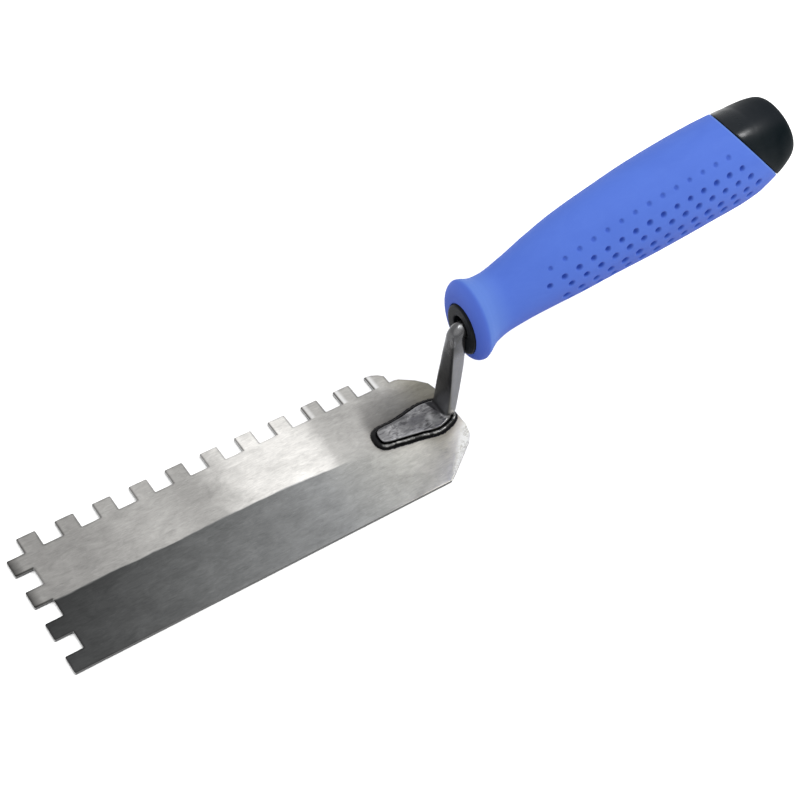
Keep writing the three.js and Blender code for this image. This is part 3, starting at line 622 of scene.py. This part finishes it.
# =====================================================================  blade
def blade_outline():
    x0, x1, y0, y1 = -BLADE_L / 2, BLADE_L / 2, -BLADE_W / 2, BLADE_W / 2
    rx, ry = x0 + NOTCH_D, y1 - NOTCH_D
    pts = [(x0, y0), (57.3, y0), (61.0, -22.6), (71.8, -14.7), (73.8, -12.3), (x1, -8.4), (x1, 9.4), (74.3, 12.2),
           (71.2, 15.5), (66.6, 18.7), (65.2, ry)]
    for k in range(SIDE_TEETH, 0, -1):
        front = rx + (k - 1) * 2 * TOOTH_W
        rear = front + TOOTH_W
        pts.append((rear, ry))
        pts += [(rear, 22.3), (61.6, 23.7), (59.6, 24.7), (57.9, y1)] if k == SIDE_TEETH else [(rear, y1)]
        pts.append((front, y1))
        if k > 1:
            pts.append((front, ry))
    pts.append((rx, ry))
    for k in range(FRONT_TEETH, 0, -1):
        low = y0 + (k - 1) * 2 * TOOTH_W
        high = low + TOOTH_W
        if k < FRONT_TEETH:
            pts.append((rx, high))
        pts.append((x0, high))
        if k > 1:
            pts += [(x0, low), (rx, low)]
    out = []
    for i, p in enumerate(pts):
        q = pts[i - 1]
        if math.hypot(p[0] - q[0], p[1] - q[1]) > 0.05:
            out.append(p)
    return out


def rounded(pts, tip, root):
    """Rounds right-angled corners: tips (convex) by tip, roots (concave) by root; the rest stay."""
    out, n = [], len(pts)
    for i in range(n):
        p, a, b = (np.array(pts[j % n], float) for j in (i, i - 1, i + 1))
        u, v = p - a, b - p
        lu, lv = np.linalg.norm(u), np.linalg.norm(v)
        cross = (u[0] * v[1] - u[1] * v[0]) / (lu * lv)
        r = tip if cross > 0.85 else root if cross < -0.85 else 0.0
        if r and lu > 3 * r and lv > 3 * r:
            q0, q1 = p - u / lu * r, p + v / lv * r
            c = q0 + q1 - p
            for t in np.linspace(0, 1, 6):
                a0 = q0 - c
                a1 = q1 - c
                ang = t * math.pi / 2
                out.append(c + a0 * math.cos(ang) + a1 * math.sin(ang))
        else:
            out.append(p)
    return np.array(out)


def densify(P, step):
    out = []
    for i in range(len(P)):
        a, b = P[i], P[(i + 1) % len(P)]
        k = max(1, int(np.linalg.norm(b - a) / step))
        out += [a + (b - a) * t / k for t in range(k)]
    return np.array(out)


def inset(P, d):
    """The closed outline (counter-clockwise) moved inwards by d, mitred."""
    e = np.roll(P, -1, 0) - P
    n = np.stack([-e[:, 1], e[:, 0]], -1) / np.linalg.norm(e, axis=1)[:, None]
    n0 = np.roll(n, 1, 0)
    m = n + n0
    m /= np.linalg.norm(m, axis=1)[:, None]
    c = np.clip((m * n).sum(1), 0.5, 1)
    return P + m * (d / c)[:, None]


def inside(P, poly):
    """Which points P are inside the closed polygon."""
    x, y = P[:, 0], P[:, 1]
    res = np.zeros(len(P), bool)
    n = len(poly)
    for i in range(n):
        (xa, ya), (xb, yb) = poly[i], poly[(i + 1) % n]
        if ya == yb:
            continue
        hit = ((ya > y) != (yb > y)) & (x < (xb - xa) * (y - ya) / (yb - ya) + xa)
        res ^= hit
    return res


def build_blade():
    line = densify(rounded(blade_outline(), 0.45, 0.28), 1.5)
    n = len(line)
    # rings from the underside's flat, round the wall, to the top's flat: inset, z
    prof = [(0.16, 0.0), (0.05, 0.03), (0.0, 0.13), (0.0, 0.62), (0.0, 1.02), (0.03, 1.11), (0.10, 1.175), (0.22, 1.2)]
    rings = [np.column_stack([inset(line, d), np.full(n, z)]) for d, z in prof]
    # a faintly uneven sheared edge
    for r, (d, z) in zip(rings, prof):
        if 0.1 < z < 1.15:
            w = fbm(r * np.array([1, 1, 0.4]), 0.8, 2, 3.0) * 0.018
            c = inset(line, 1.0)
            k = c - line
            r[:, :2] += k / np.linalg.norm(k, axis=1)[:, None] * np.abs(w)[:, None]
    V = np.vstack(rings)
    F = grid_faces(len(rings), n)
    M = [0 if prof[j + 1][1] > 1.12 or prof[j][1] < 0.02 else 1 for j in range(len(rings) - 1) for _ in range(n)]
    edge = np.concatenate([np.full(n, 1.0) for _ in rings])
    # top face: an inner loop, a coarse field, and a fine field round the weld
    top_loop = rings[-1][:, :2]
    inner = inset(line, 0.95)
    rng = np.random.default_rng(7)
    gx, gy = np.meshgrid(np.arange(-73, 74, 2.6), np.arange(-23.5, 24, 2.6))
    coarse = np.column_stack([gx.ravel(), gy.ravel()]) + rng.uniform(-0.5, 0.5, (gx.size, 2))
    fx, fy = np.meshgrid(np.arange(40, 75, 0.45), np.arange(-10, 10, 0.45))
    fine = np.column_stack([fx.ravel(), fy.ravel()]) + rng.uniform(-0.12, 0.12, (fx.size, 2))
    fd = foot_distance(fine)
    fine = fine[(fd > 0) & (fd < 4.2)]
    cd = foot_distance(coarse)
    coarse = coarse[(cd > 4.2) | (cd == 0)]
    field = np.vstack([coarse, fine])
    field = field[inside(field, inset(line, 1.25))]
    loops = [top_loop, inner]
    pts = np.vstack(loops + [field])
    edges = []
    for k in range(2):
        edges += [(k * n + i, k * n + (i + 1) % n) for i in range(n)]
    pv, _, pf, ov, _, _ = delaunay_2d_cdt([Vector(p) for p in pts], edges, [list(range(n))], 1, 1e-6)
    pv = np.array([[p.x, p.y] for p in pv])
    cen = np.array([pv[list(f)].mean(0) for f in pf])
    keep = inside(cen, top_loop)
    base = len(V)
    ring_top = (len(rings) - 1) * n
    remap = np.empty(len(pv), int)
    extra, extra_edge = [], []
    for i, origins in enumerate(ov):
        o = [q for q in origins if q < n]
        if o:
            remap[i] = ring_top + o[0]
        else:
            remap[i] = base + len(extra)
            extra.append([pv[i][0], pv[i][1], BLADE_T])
            extra_edge.append(0.0)
    V = np.vstack([V, np.array(extra)])
    edge = np.concatenate([edge, extra_edge])
    for f, k in zip(pf, keep):
        if k:
            F.append(tuple(remap[list(f)]))
            M.append(0)
    # underside: one flat face, triangulated
    bot = rings[0][:, :2]
    bv, _, bf, bo, _, _ = delaunay_2d_cdt([Vector(p) for p in bot], [(i, (i + 1) % n) for i in range(n)], [list(range(n))], 1, 1e-6)
    bv = np.array([[p.x, p.y] for p in bv])
    cen = np.array([bv[list(f)].mean(0) for f in bf])
    for f, k in zip(bf, inside(cen, bot)):
        if k:
            F.append(tuple(bo[i][0] for i in f)[::-1])
            M.append(0)
    wd = foot_distance(V)
    wd[V[:, 2] < 0.6] = 30.0
    ob = mesh_object("blade_plate", V, F, True, {"edge": edge, "weld_dist": wd}, M)
    return ob


# =====================================================================  shank
def neck_rows():
    """Centre line, direction, half width, half thickness and squareness of the shank, densely."""
    tt = math.radians(12.0)
    tang = np.array([math.cos(tt), 0, math.sin(tt)])
    bend_r, neck_x = 3.5, 72.0
    bend_z = 40.1 + (neck_x - 73.1) * math.tan(tt)
    lead = bend_r * math.tan((math.pi / 2 - tt) / 2)
    st = np.array([[2.5, 3.9, 2.1, .9, -.75], [2.9, 4.05, 2.25, .9, -.7], [3.4, 4.15, 2.08, .9, -.42], [4.4, 4.25, 2.0, .9, -.2],
                   [6, 4.3, 2.0, .9, -.1], [10, 4.3, 2.03, .9, -.03], [14, 4.15, 2.16, .88, 0], [18, 3.95, 2.32, .86, .04],
                   [22, 3.65, 2.5, .82, .1], [26, 3.4, 2.62, .75, .1], [30, 3.15, 2.7, .6, .05], [34, 2.95, 2.75, .4, .04]])
    rows = []
    for z in np.linspace(2.45, 34, 72):
        zz = max(z, 2.5)
        hy, ht, sq, dx = (pchip(st[:, 0], st[:, k], [zz])[0] for k in (1, 2, 3, 4))
        rows.append((np.array([neck_x + dx, 0, z]), np.array([0, 0, 1.0]), hy, ht, sq))
    turn = math.pi / 2 - tt
    cx, cz = neck_x + bend_r, bend_z - lead
    for a in np.linspace(0, turn, 20):
        q = a / turn
        rows.append((np.array([cx - bend_r * math.cos(a), 0, cz + bend_r * math.sin(a)]), np.array([math.sin(a), 0, math.cos(a)]),
                     2.85 - 0.1 * q, 2.8 - 0.05 * q, 0.3 * (1 - q)))
    start = rows[-1][0]
    for s, r in [(4, 2.72), (8, 2.7), (30, 2.5), (64, 2.2), (70, 1.9), (71.4, 1.3), (72, 0.6)]:
        rows.append((start + tang * s, tang, r, r, 0.0))
    return rows


def tube(rows, sides):
    V = []
    ang = np.linspace(0, 2 * math.pi, sides, endpoint=False)
    for p, d, hy, ht, sq in rows:
        e = 2 / (2 + 5 * sq)
        nrm = np.cross([0, 1, 0], d)
        cu = np.sign(np.cos(ang)) * np.abs(np.cos(ang)) ** e
        su = np.sign(np.sin(ang)) * np.abs(np.sin(ang)) ** e
        V.append(p + hy * cu[:, None] * np.array([0, 1, 0]) + ht * su[:, None] * nrm)
    F = grid_faces(len(rows), sides)
    n = len(rows)
    F.append(tuple(range(sides))[::-1])
    F.append(tuple(range((n - 1) * sides, n * sides)))
    return np.vstack(V), F


def build_shank():
    Vn, Fn = tube(neck_rows(), 72)
    # foot: flared wall, rounded top edge, slightly crowned top
    prof = [(0.10, 0.62), (0.10, 1.2), (0.10, 2.62), (0.07, 2.76), (0.0, 2.87), (-0.10, 2.945), (-0.22, 2.985), (-0.36, 3.0)]
    Q, T = foot_curve(200)
    N = np.stack([T[:, 1], -T[:, 0]], -1)
    swell = (0.22 * smoothstep(0.3, 0.9, N[:, 1]))[:, None] * N
    rings = [np.column_stack([foot_offset(d, Q, T) + swell, np.full(len(Q), z)]) for d, z in prof]
    cen = np.array([62.0, -0.6])
    top = rings[-1][:, :2]
    for k, s in enumerate((0.8, 0.55, 0.3, 0.1)):
        q = cen + (top - cen) * s
        rings.append(np.column_stack([q, np.full(len(Q), 3.0)]))
    Vf = np.vstack(rings)
    Ff = grid_faces(len(rings), len(Q))
    m = len(Q)
    Ff.append(tuple(range(m))[::-1])
    Ff.append(tuple(range((len(rings) - 1) * m, len(rings) * m)))
    V = np.vstack([Vn, Vf])
    F = list(Fn) + [tuple(i + len(Vn) for i in f) for f in Ff]
    ob = mesh_object("shank_forging", V, F)
    mod = ob.modifiers.new("weld", "REMESH")
    mod.mode = "VOXEL"
    mod.voxel_size = 0.00021
    dg = bpy.context.evaluated_depsgraph_get()
    me = bpy.data.meshes.new_from_object(ob.evaluated_get(dg))
    ob.modifiers.clear()
    old = ob.data
    ob.data = me
    bpy.data.meshes.remove(old)
    me.name = "shank_forging"
    co = np.empty(len(me.vertices) * 3)
    me.vertices.foreach_get("co", co)
    P = co.reshape(-1, 3) / MM
    ed = np.empty(len(me.edges) * 2, np.int64)
    me.edges.foreach_get("vertices", ed)
    ed = ed.reshape(-1, 2)
    deg = np.bincount(ed.ravel(), minlength=len(P)).astype(float)

    def relax(P, w, times):
        for _ in range(times):
            acc = np.zeros_like(P)
            for k in range(3):
                acc[:, k] = (np.bincount(ed[:, 0], P[ed[:, 1], k], len(P)) + np.bincount(ed[:, 1], P[ed[:, 0], k], len(P)))
            P = P + (acc / deg[:, None] - P) * w[:, None]
        return P

    ones = np.ones(len(P))
    for _ in range(12):
        P = relax(P, 0.5 * ones, 1)
        P = relax(P, -0.52 * ones, 1)
    P = relax(P, 0.5 * smoothstep(3.4, 6.5, P[:, 2]), 16)
    # forged fillet where the neck leaves the foot
    dz = smoothstep(2.5, 2.9, P[:, 2]) * smoothstep(4.6, 3.4, P[:, 2]) * smoothstep(67.0, 69.0, P[:, 0])
    P = relax(P, 0.6 * dz, 16)
    # hammered, slightly uneven skin
    w = smoothstep(1.3, 3.0, P[:, 2])
    d = fbm(P, 0.16, 3, 5.0) * (0.09 - 0.055 * smoothstep(4.0, 8.0, P[:, 2])) + fbm(P, 0.55, 2, 1.0) * 0.03 * smoothstep(7.0, 3.5, P[:, 2])
    me.vertices.foreach_set("co", (P * MM).ravel())
    me.update()
    nrm = np.empty(len(me.vertices) * 3)
    me.vertices.foreach_get("normal", nrm)
    P = P + nrm.reshape(-1, 3) * (d * w)[:, None]
    P[:, 2] = np.maximum(P[:, 2], 0.62)
    # the foot sits on the blade's top face
    P[:, 2] = np.where(P[:, 2] < BLADE_T + 0.004, BLADE_T + 0.004, P[:, 2])
    me.vertices.foreach_set("co", (P * MM).ravel())
    me.polygons.foreach_set("use_smooth", np.ones(len(me.polygons), bool))
    near = np.where(P[:, 2] < 3.6, 1.0, 0.0)
    d = np.full(len(P), 9.0)
    k = np.nonzero(near)[0]
    for part in np.array_split(k, 40):
        if len(part):
            d[part] = np.sqrt(((P[part][:, None, :2] - FOOT_Q[None]) ** 2).sum(-1)).min(1)
    # mask for the painted highlight along the foot's top rim
    rim = np.exp(-((d - 0.15) / 0.38) ** 2) * smoothstep(2.5, 2.85, P[:, 2]) * near
    a = me.attributes.new("rim", "FLOAT", "POINT")
    a.data.foreach_set("value", rim.astype(np.float32))
    me.update()
    return ob


# =====================================================================  weld bead
def build_bead():
    n, m = 420, 15
    Q, T = foot_curve(n)
    s = np.arange(n) / n
    per = np.linalg.norm(np.roll(Q, -1, 0) - Q, axis=1).sum()
    th = np.linspace(0, math.pi, m)
    arc = s * per
    ripple = 0.5 + 0.5 * np.cos(2 * math.pi * arc / 1.55 + 1.6 * np.sin(arc * 0.45))
    P3 = np.column_stack([Q, np.zeros(n)])
    lump = fbm(P3, 0.33, 2, 11.0)
    fat = fbm(P3, 0.20, 2, 23.0)
    nose = smoothstep(49.5, 46.5, Q[:, 0])
    heel = smoothstep(70.0, 72.5, Q[:, 0])
    # painted broken highlights in patches along the crown on the plain-edge side, and a painted highlight dot near the
    # nose; none elsewhere
    side = smoothstep(1.0, -2.0, Q[:, 1]) * smoothstep(47.0, 48.2, Q[:, 0])
    patchy = smoothstep(-0.28, 0.12, fbm(P3, 0.42, 2, 41.0))
    spot = np.exp(-(((Q[:, 0] - 47.3) ** 2 + (Q[:, 1] + 2.2) ** 2) / 0.55))
    painted_light_mask = np.clip(side * (0.42 + 0.58 * patchy) + spot * 1.1, 0, 1.1)
    V, crown = [], []
    for t in th:
        r = 0.30 + (1.40 + 0.20 * fat + 0.45 * nose - 0.05 * heel) * (1 - math.cos(math.pi - t)) / 2
        hh = (1.12 + 0.13 * lump + 0.10 * ripple + 0.10 * nose + 0.1 * heel) * max(math.sin(t), 0) ** 0.8
        V.append(np.column_stack([foot_offset(1.0, Q, T) * 0 + Q + np.stack([T[:, 1], -T[:, 0]], -1) * np.asarray(r)[..., None], BLADE_T + hh + 0.0 * arc]))
        crown.append(np.full(n, math.exp(-((t - 1.42) / 0.72) ** 2)) * painted_light_mask)
    # ring-major order: th rings of n points, closed through the flat base
    V = np.vstack(V)
    V[:, 2] = np.maximum(V[:, 2], BLADE_T + 0.002)
    F = grid_faces(m, n, True)
    return mesh_object("weld_bead_ripple", V, F, True, {"crown": np.concatenate(crown)})


# =====================================================================  handle
def build_core():
    n = 160
    phi = np.linspace(0, 2 * math.pi, n, endpoint=False)
    tt = math.radians(12.0)
    # where the tang's axis crosses the face plane l = -0.75 (handle coordinates)
    bend_z = 40.1 + (72.0 - 73.1) * math.tan(tt)
    base = np.array([72.0, 0, bend_z])
    tang = np.array([math.cos(tt), 0, math.sin(tt)])

    def hole(l, r):
        k = (l - (base - H0) @ ALONG) / (tang @ ALONG)
        c = base + tang * k
        P = c + r * np.sin(phi)[:, None] * UPWARD
        P[:, 1] += r * np.cos(phi)
        return P

    rings = [hole(14.0, 0.4), hole(14.0, 2.95), hole(2.6, 2.95), hole(1.9, 3.0)]
    for l, a, b, c in [(1.72, 3.2, 4.2, 0.9), (1.5, 3.36, 4.46, 0.96), (0.4, 3.5, 4.66, 0.96), (0.0, 3.56, 4.74, 0.96), (-0.14, 3.66, 4.84, 0.95), (-0.19, 3.85, 5.05, 0.9),
                       (-0.19, 4.9, 6.6, 0.3), (-0.17, 5.8, 8.1, -0.25), (-0.18, 6.4, 9.35, -0.5), (-0.15, 6.72, 9.95, -0.55), (-0.06, 6.93, 10.2, -0.55), (0.08, 7.06, 10.37, -0.55),
                       (0.3, 7.12, 10.46, -0.53), (0.8, 7.15, 10.5, -0.45), (2.4, 7.2, 10.6, 0.2)]:
        rings.append(oval(np.tile([l, a, b, c], (n, 1)).astype(float), phi))
    for l, a, b, c in SKIN:
        if 6 <= l <= 112:
            rings.append(oval(np.tile([l, a - 2.8, b - 3.2, c], (n, 1)).astype(float), phi))
    rows = len(rings)
    V = np.vstack(rings)
    # everything behind the slanted joint is pulled back to it
    d = (V - CAP_P) @ CAP_N + 0.3
    k = np.where(d > 0, d / (ALONG @ CAP_N), 0)
    V = V - ALONG * k[:, None]
    F = grid_faces(rows, n)
    F.append(tuple(range(n))[::-1])
    F.append(tuple(range((rows - 1) * n, rows * n)))
    return mesh_object("core_face", V, F)


# dimples: per row [first l, pitch, count, [(l, elevation)], depth, radius]
DIMPLES = [
    (28.6, 5.32, 14, [(28.6, 43.0), (65.5, 47.5), (97.8, 48.5)], 0.45, 0.98),
    (27.0, 5.34, 15, [(27.0, 19.5), (63.7, 26.5), (101.8, 29.5)], 0.85, 1.12),
    (34.6, 5.42, 14, [(34.6, 4.0), (66.7, 12.0), (105.0, 14.5)], 0.92, 1.22),
    (33.2, 5.41, 15, [(33.2, -15.5), (65.1, -5.0), (109.0, -0.5)], 0.95, 1.36),
    (35.5, 5.42, 14, [(35.5, -32.0), (65.0, -20.8), (106.0, -14.0)], 0.98, 1.46),
    (38.4, 5.42, 13, [(38.4, -47.0), (65.0, -36.5), (103.4, -30.5)], 0.92, 1.24),
    (41.1, 5.42, 12, [(41.1, -61.0), (65.0, -54.0), (100.7, -48.5)], 0.45, 0.98),
]


def build_sleeve():
    nphi = 420
    nl = 400
    phi = np.linspace(0, 2 * math.pi, nphi, endpoint=False)
    tj = joint_t(phi, -0.3)
    # denser rows over the lip
    head = np.linspace(0, SKIN_T[9], 70, endpoint=False)
    u = np.linspace(0, 1, nl)
    t = np.vstack([np.tile(head[:, None], (1, nphi)), SKIN_T[9] + (tj - 0.9 - SKIN_T[9])[None, :] * u[:, None]])
    rows = skin_at(t.ravel()).reshape(t.shape + (4,))
    PH = np.tile(phi[None, :], (len(t), 1))
    P = oval(rows, PH)
    # outward normals by differences
    dphi = np.roll(P, -1, 1) - np.roll(P, 1, 1)
    dl = np.gradient(P, axis=0)
    N = np.cross(dphi, dl)
    N /= np.maximum(np.linalg.norm(N, axis=2, keepdims=True), 1e-12)
    cen = H0 + rows[..., 0:1] * ALONG + rows[..., 3:4] * UPWARD
    sign = np.sign(((P - cen) * N)[120:].sum())
    N *= sign
    dim = np.zeros(P.shape[:2])
    dark = np.zeros(P.shape[:2])
    for first, pitch, count, path, depth, rad in DIMPLES:
        for k in range(count):
            l = first + pitch * k
            e = math.radians(pchip([p[0] for p in path], [p[1] for p in path], [l])[0])
            tl = np.interp(l, SKIN[:, 0], SKIN_T)
            row = skin_at(np.array([tl]))
            for side in (1, -1):
                f = math.pi - e if side < 0 else e
                c = oval(row, np.array([f]))[0]
                # dimples run out towards the pattern's ends and towards the joint
                gone = (c - CAP_P) @ CAP_N
                if gone > -3.2:
                    continue
                dd = np.linalg.norm(P - c, axis=2) * (1.0 + 0.07 * math.sin(5.1 * k + 9.0 * rad + depth * 11.0))
                bowl = 1 - smoothstep(rad * 0.38, rad * 1.14, dd)
                lipup = np.exp(-((dd - rad * 1.18) / 0.22) ** 2) * 0.03
                dim = np.maximum(dim, depth * bowl)
                # painted shade inside each dimple, weaker in the shallow rows
                dark = np.maximum(dark, (1 - smoothstep(rad * 0.45, rad * 1.16, dd)) * (0.5 if depth <= 0.5 else 1.0 + 0.22 * (e < math.radians(8))))
                dim = np.where(bowl > 0.001, dim, dim - lipup)
    P = P - N * dim[..., None]
    # masks for the painted shade on the lip's face and the painted highlight on its crest
    lipz = 1 - smoothstep(2.0, 3.4, rows[..., 0])
    crest = smoothstep(2.7, 3.7, rows[..., 0]) * (1 - smoothstep(5.0, 15.0, rows[..., 0]))
    rings = list(P)
    d_at = list(dark)
    l_at, c_at = list(lipz), list(crest)
    # rolled edge into the joint, then the flat end, then the bore
    tj2 = joint_t(phi, -0.2)
    for back, drop in ((0.55, 0.01), (0.26, 0.035), (0.1, 0.085), (0.0, 0.17)):
        r = skin_at(tj2 - back)
        r[:, 1] -= drop
        r[:, 2] -= drop
        Q = oval(r, phi)
        rings.append(Q)
        d_at.append(np.zeros(nphi))
        l_at.append(np.zeros(nphi))
        # painted highlight along the rolled edge at the joint
        c_at.append(np.full(nphi, 1.6 if 0.05 < back < 0.4 else 0.5))
    for wall in (1.2, 2.5):
        r = skin_at(tj2)
        r[:, 1] -= wall
        r[:, 2] -= wall
        Q = oval(r, phi)
        k = ((Q - CAP_P) @ CAP_N + 0.2) / (ALONG @ CAP_N)
        rings.append(Q - ALONG * k[:, None])
    for l in (104.0, 90.0, 72.0, 42.0, 20.0, 8.5, 6.0):
        row = np.array([np.interp(l, SKIN[:, 0], SKIN[:, k]) for k in range(4)])
        r = np.tile([row[0], row[1] - 2.5, row[2] - 2.9, row[3]], (nphi, 1))
        Q = oval(r, phi)
        k = np.maximum((Q - CAP_P) @ CAP_N + 0.6, 0) / (ALONG @ CAP_N)
        rings.append(Q - ALONG * k[:, None])
    for row in ([2.4, 7.5, 10.9, 0.2], [0.95, 7.3, 10.66, -0.45], [0.6, 7.25, 10.6, -0.47]):
        rings.append(oval(np.tile(row, (nphi, 1)).astype(float), phi))
    V = np.vstack([r.reshape(-1, 3) for r in rings])
    m = len(rings)
    dark = np.concatenate([d.ravel() for d in d_at] + [np.zeros(nphi)] * (m - len(d_at)))
    lipa = np.concatenate([d.ravel() for d in l_at] + [np.zeros(nphi)] * (m - len(l_at)))
    cresta = np.concatenate([d.ravel() for d in c_at] + [np.zeros(nphi)] * (m - len(c_at)))
    F = grid_faces(m, nphi, True)
    return mesh_object("grip_sleeve_dimpled", V, F, True, {"dimple": dark, "lip": lipa, "crest": cresta})


def build_cap():
    n = 260
    phi = np.linspace(0, 2 * math.pi, n, endpoint=False)
    rings = []
    # spigot, then the flat joint face
    for l, a, b, c in ((101.5, 2.0, 3.0, 7.3), (101.5, 5.2, 7.6, 7.3), (102.5, 6.2, 8.8, 7.3), (107.5, 6.2, 8.8, 7.2)):
        Q = oval(np.tile([l, a, b, c], (n, 1)).astype(float), phi)
        k = np.maximum((Q - CAP_P) @ CAP_N + 0.5, 0) / (ALONG @ CAP_N)
        rings.append(Q - ALONG * k[:, None])
    tj = joint_t(phi, 0.0)
    for wall in (6.0, 3.0, 1.2):
        r = skin_at(tj)
        r[:, 1] -= wall
        r[:, 2] -= wall
        Q = oval(r, phi)
        k = ((Q - CAP_P) @ CAP_N - 0.0) / (ALONG @ CAP_N)
        rings.append(Q - ALONG * k[:, None])
    for back, drop in ((0.0, 0.2), (0.06, 0.11), (0.16, 0.05), (0.38, 0.02), (0.8, 0.0)):
        r = skin_at(tj + back)
        r[:, 1] -= drop
        r[:, 2] -= drop
        rings.append(oval(r, phi))
    u = np.linspace(0, 1, 90)[1:] ** 0.9
    end = SKIN_T[-1]
    for k in u:
        rings.append(oval(skin_at(tj + 0.8 + (end - tj - 0.8) * k), phi))
    last = skin_at(np.array([end]))[0]
    for s, dl in ((0.6, 0.012), (0.25, 0.02)):
        rings.append(oval(np.tile([last[0] + dl, last[1] * s, last[2] * s, last[3]], (n, 1)), phi))
    m = len(rings)
    V = np.vstack(rings)
    F = grid_faces(m, n)
    F.append(tuple(range(n))[::-1])
    F.append(tuple(range((m - 1) * n, m * n)))
    return mesh_object("end_cap_satin", V, F)


# =====================================================================  pieces
blade = build_blade()
blade.data.materials.append(steel_material())
blade.data.materials.append(cut_edge_material())
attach(blade, "root"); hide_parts("blade")

shank = build_shank()
shank.data.materials.append(shank_material())
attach(shank, "root"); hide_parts("shank")

bead = build_bead()
bead.data.materials.append(weld_material())
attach(bead, "root"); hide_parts("weld_bead")

core = build_core()
core.data.materials.append(core_material())
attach(core, "root"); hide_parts("handle_core")

sleeve = build_sleeve()
sleeve.data.materials.append(grip_material())
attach(sleeve, "root"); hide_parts("grip_sleeve")

cap = build_cap()
cap.data.materials.append(cap_material())
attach(cap, "root"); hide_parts("end_cap")

# =====================================================================  floor, light, camera
floor_me = bpy.data.meshes.new("studio_floor")
bm = bmesh.new()
bmesh.ops.create_grid(bm, x_segments=4, y_segments=4, size=6.0)
bmesh.ops.translate(bm, verts=bm.verts, vec=(0, 0, -0.0001))
bm.to_mesh(floor_me)
bm.free()
floor = bpy.data.objects.new("studio_floor", floor_me)
bpy.context.scene.collection.objects.link(floor)
floor_me.materials.append(floor_material())

world = bpy.data.worlds.new("studio")
bpy.context.scene.world = world
world.use_nodes = True
bg = world.node_tree.nodes["Background"]
bg.inputs["Color"].default_value = (1.0, 1.0, 1.0, 1)
bg.inputs["Strength"].default_value = 1.10


def softbox(name, at, target, size, energy):
    d = bpy.data.lights.new(name, "AREA")
    d.shape, d.size, d.size_y, d.energy = "RECTANGLE", size[0], size[1], energy
    o = bpy.data.objects.new(name, d)
    bpy.context.scene.collection.objects.link(o)
    o.location = at
    o.rotation_mode = "QUATERNION"
    o.rotation_quaternion = (Vector(target) - Vector(at)).to_track_quat("-Z", "Y")
    return o


softbox("key_overhead", (0.05, -0.15, 1.5), (0.04, 0, 0), (1.6, 1.6), 7.0)
softbox("strip_right", (0.74, -0.34, 0.76), (0.19, 0, 0.07), (0.10, 0.10), 4.2)
softbox("kicker_back_left", (-0.31, 0.264, 0.69), (0.074, 0, 0.042), (0.06, 0.06), 0.40)

CAM_R = ((0.8191309674845546, -0.5668506509825254, 0.08777697641468965),
         (-0.3902583244648715, -0.662889086604485, -0.638965178273858),
         (0.4203842269801388, 0.4891404689262168, -0.7642111641195464))
cam_data = bpy.data.cameras.new("camera")
cam_data.sensor_width = 36.0
cam_data.lens = 1544.7252698859227 * 36.0 / 800.0
cam_data.clip_start, cam_data.clip_end = 0.01, 50
cam = bpy.data.objects.new("camera", cam_data)
bpy.context.scene.collection.objects.link(cam)
rx, ry, rz = (Vector(r) for r in CAM_R)
rot = Matrix((rx, -ry, -rz)).transposed()
cam.matrix_world = Matrix.Translation(Vector((-0.153087, -0.239287, 0.392060))) @ rot.to_4x4()
bpy.context.scene.camera = cam

scene = bpy.context.scene
scene.view_settings.view_transform = "Standard"
scene.view_settings.look = "None"
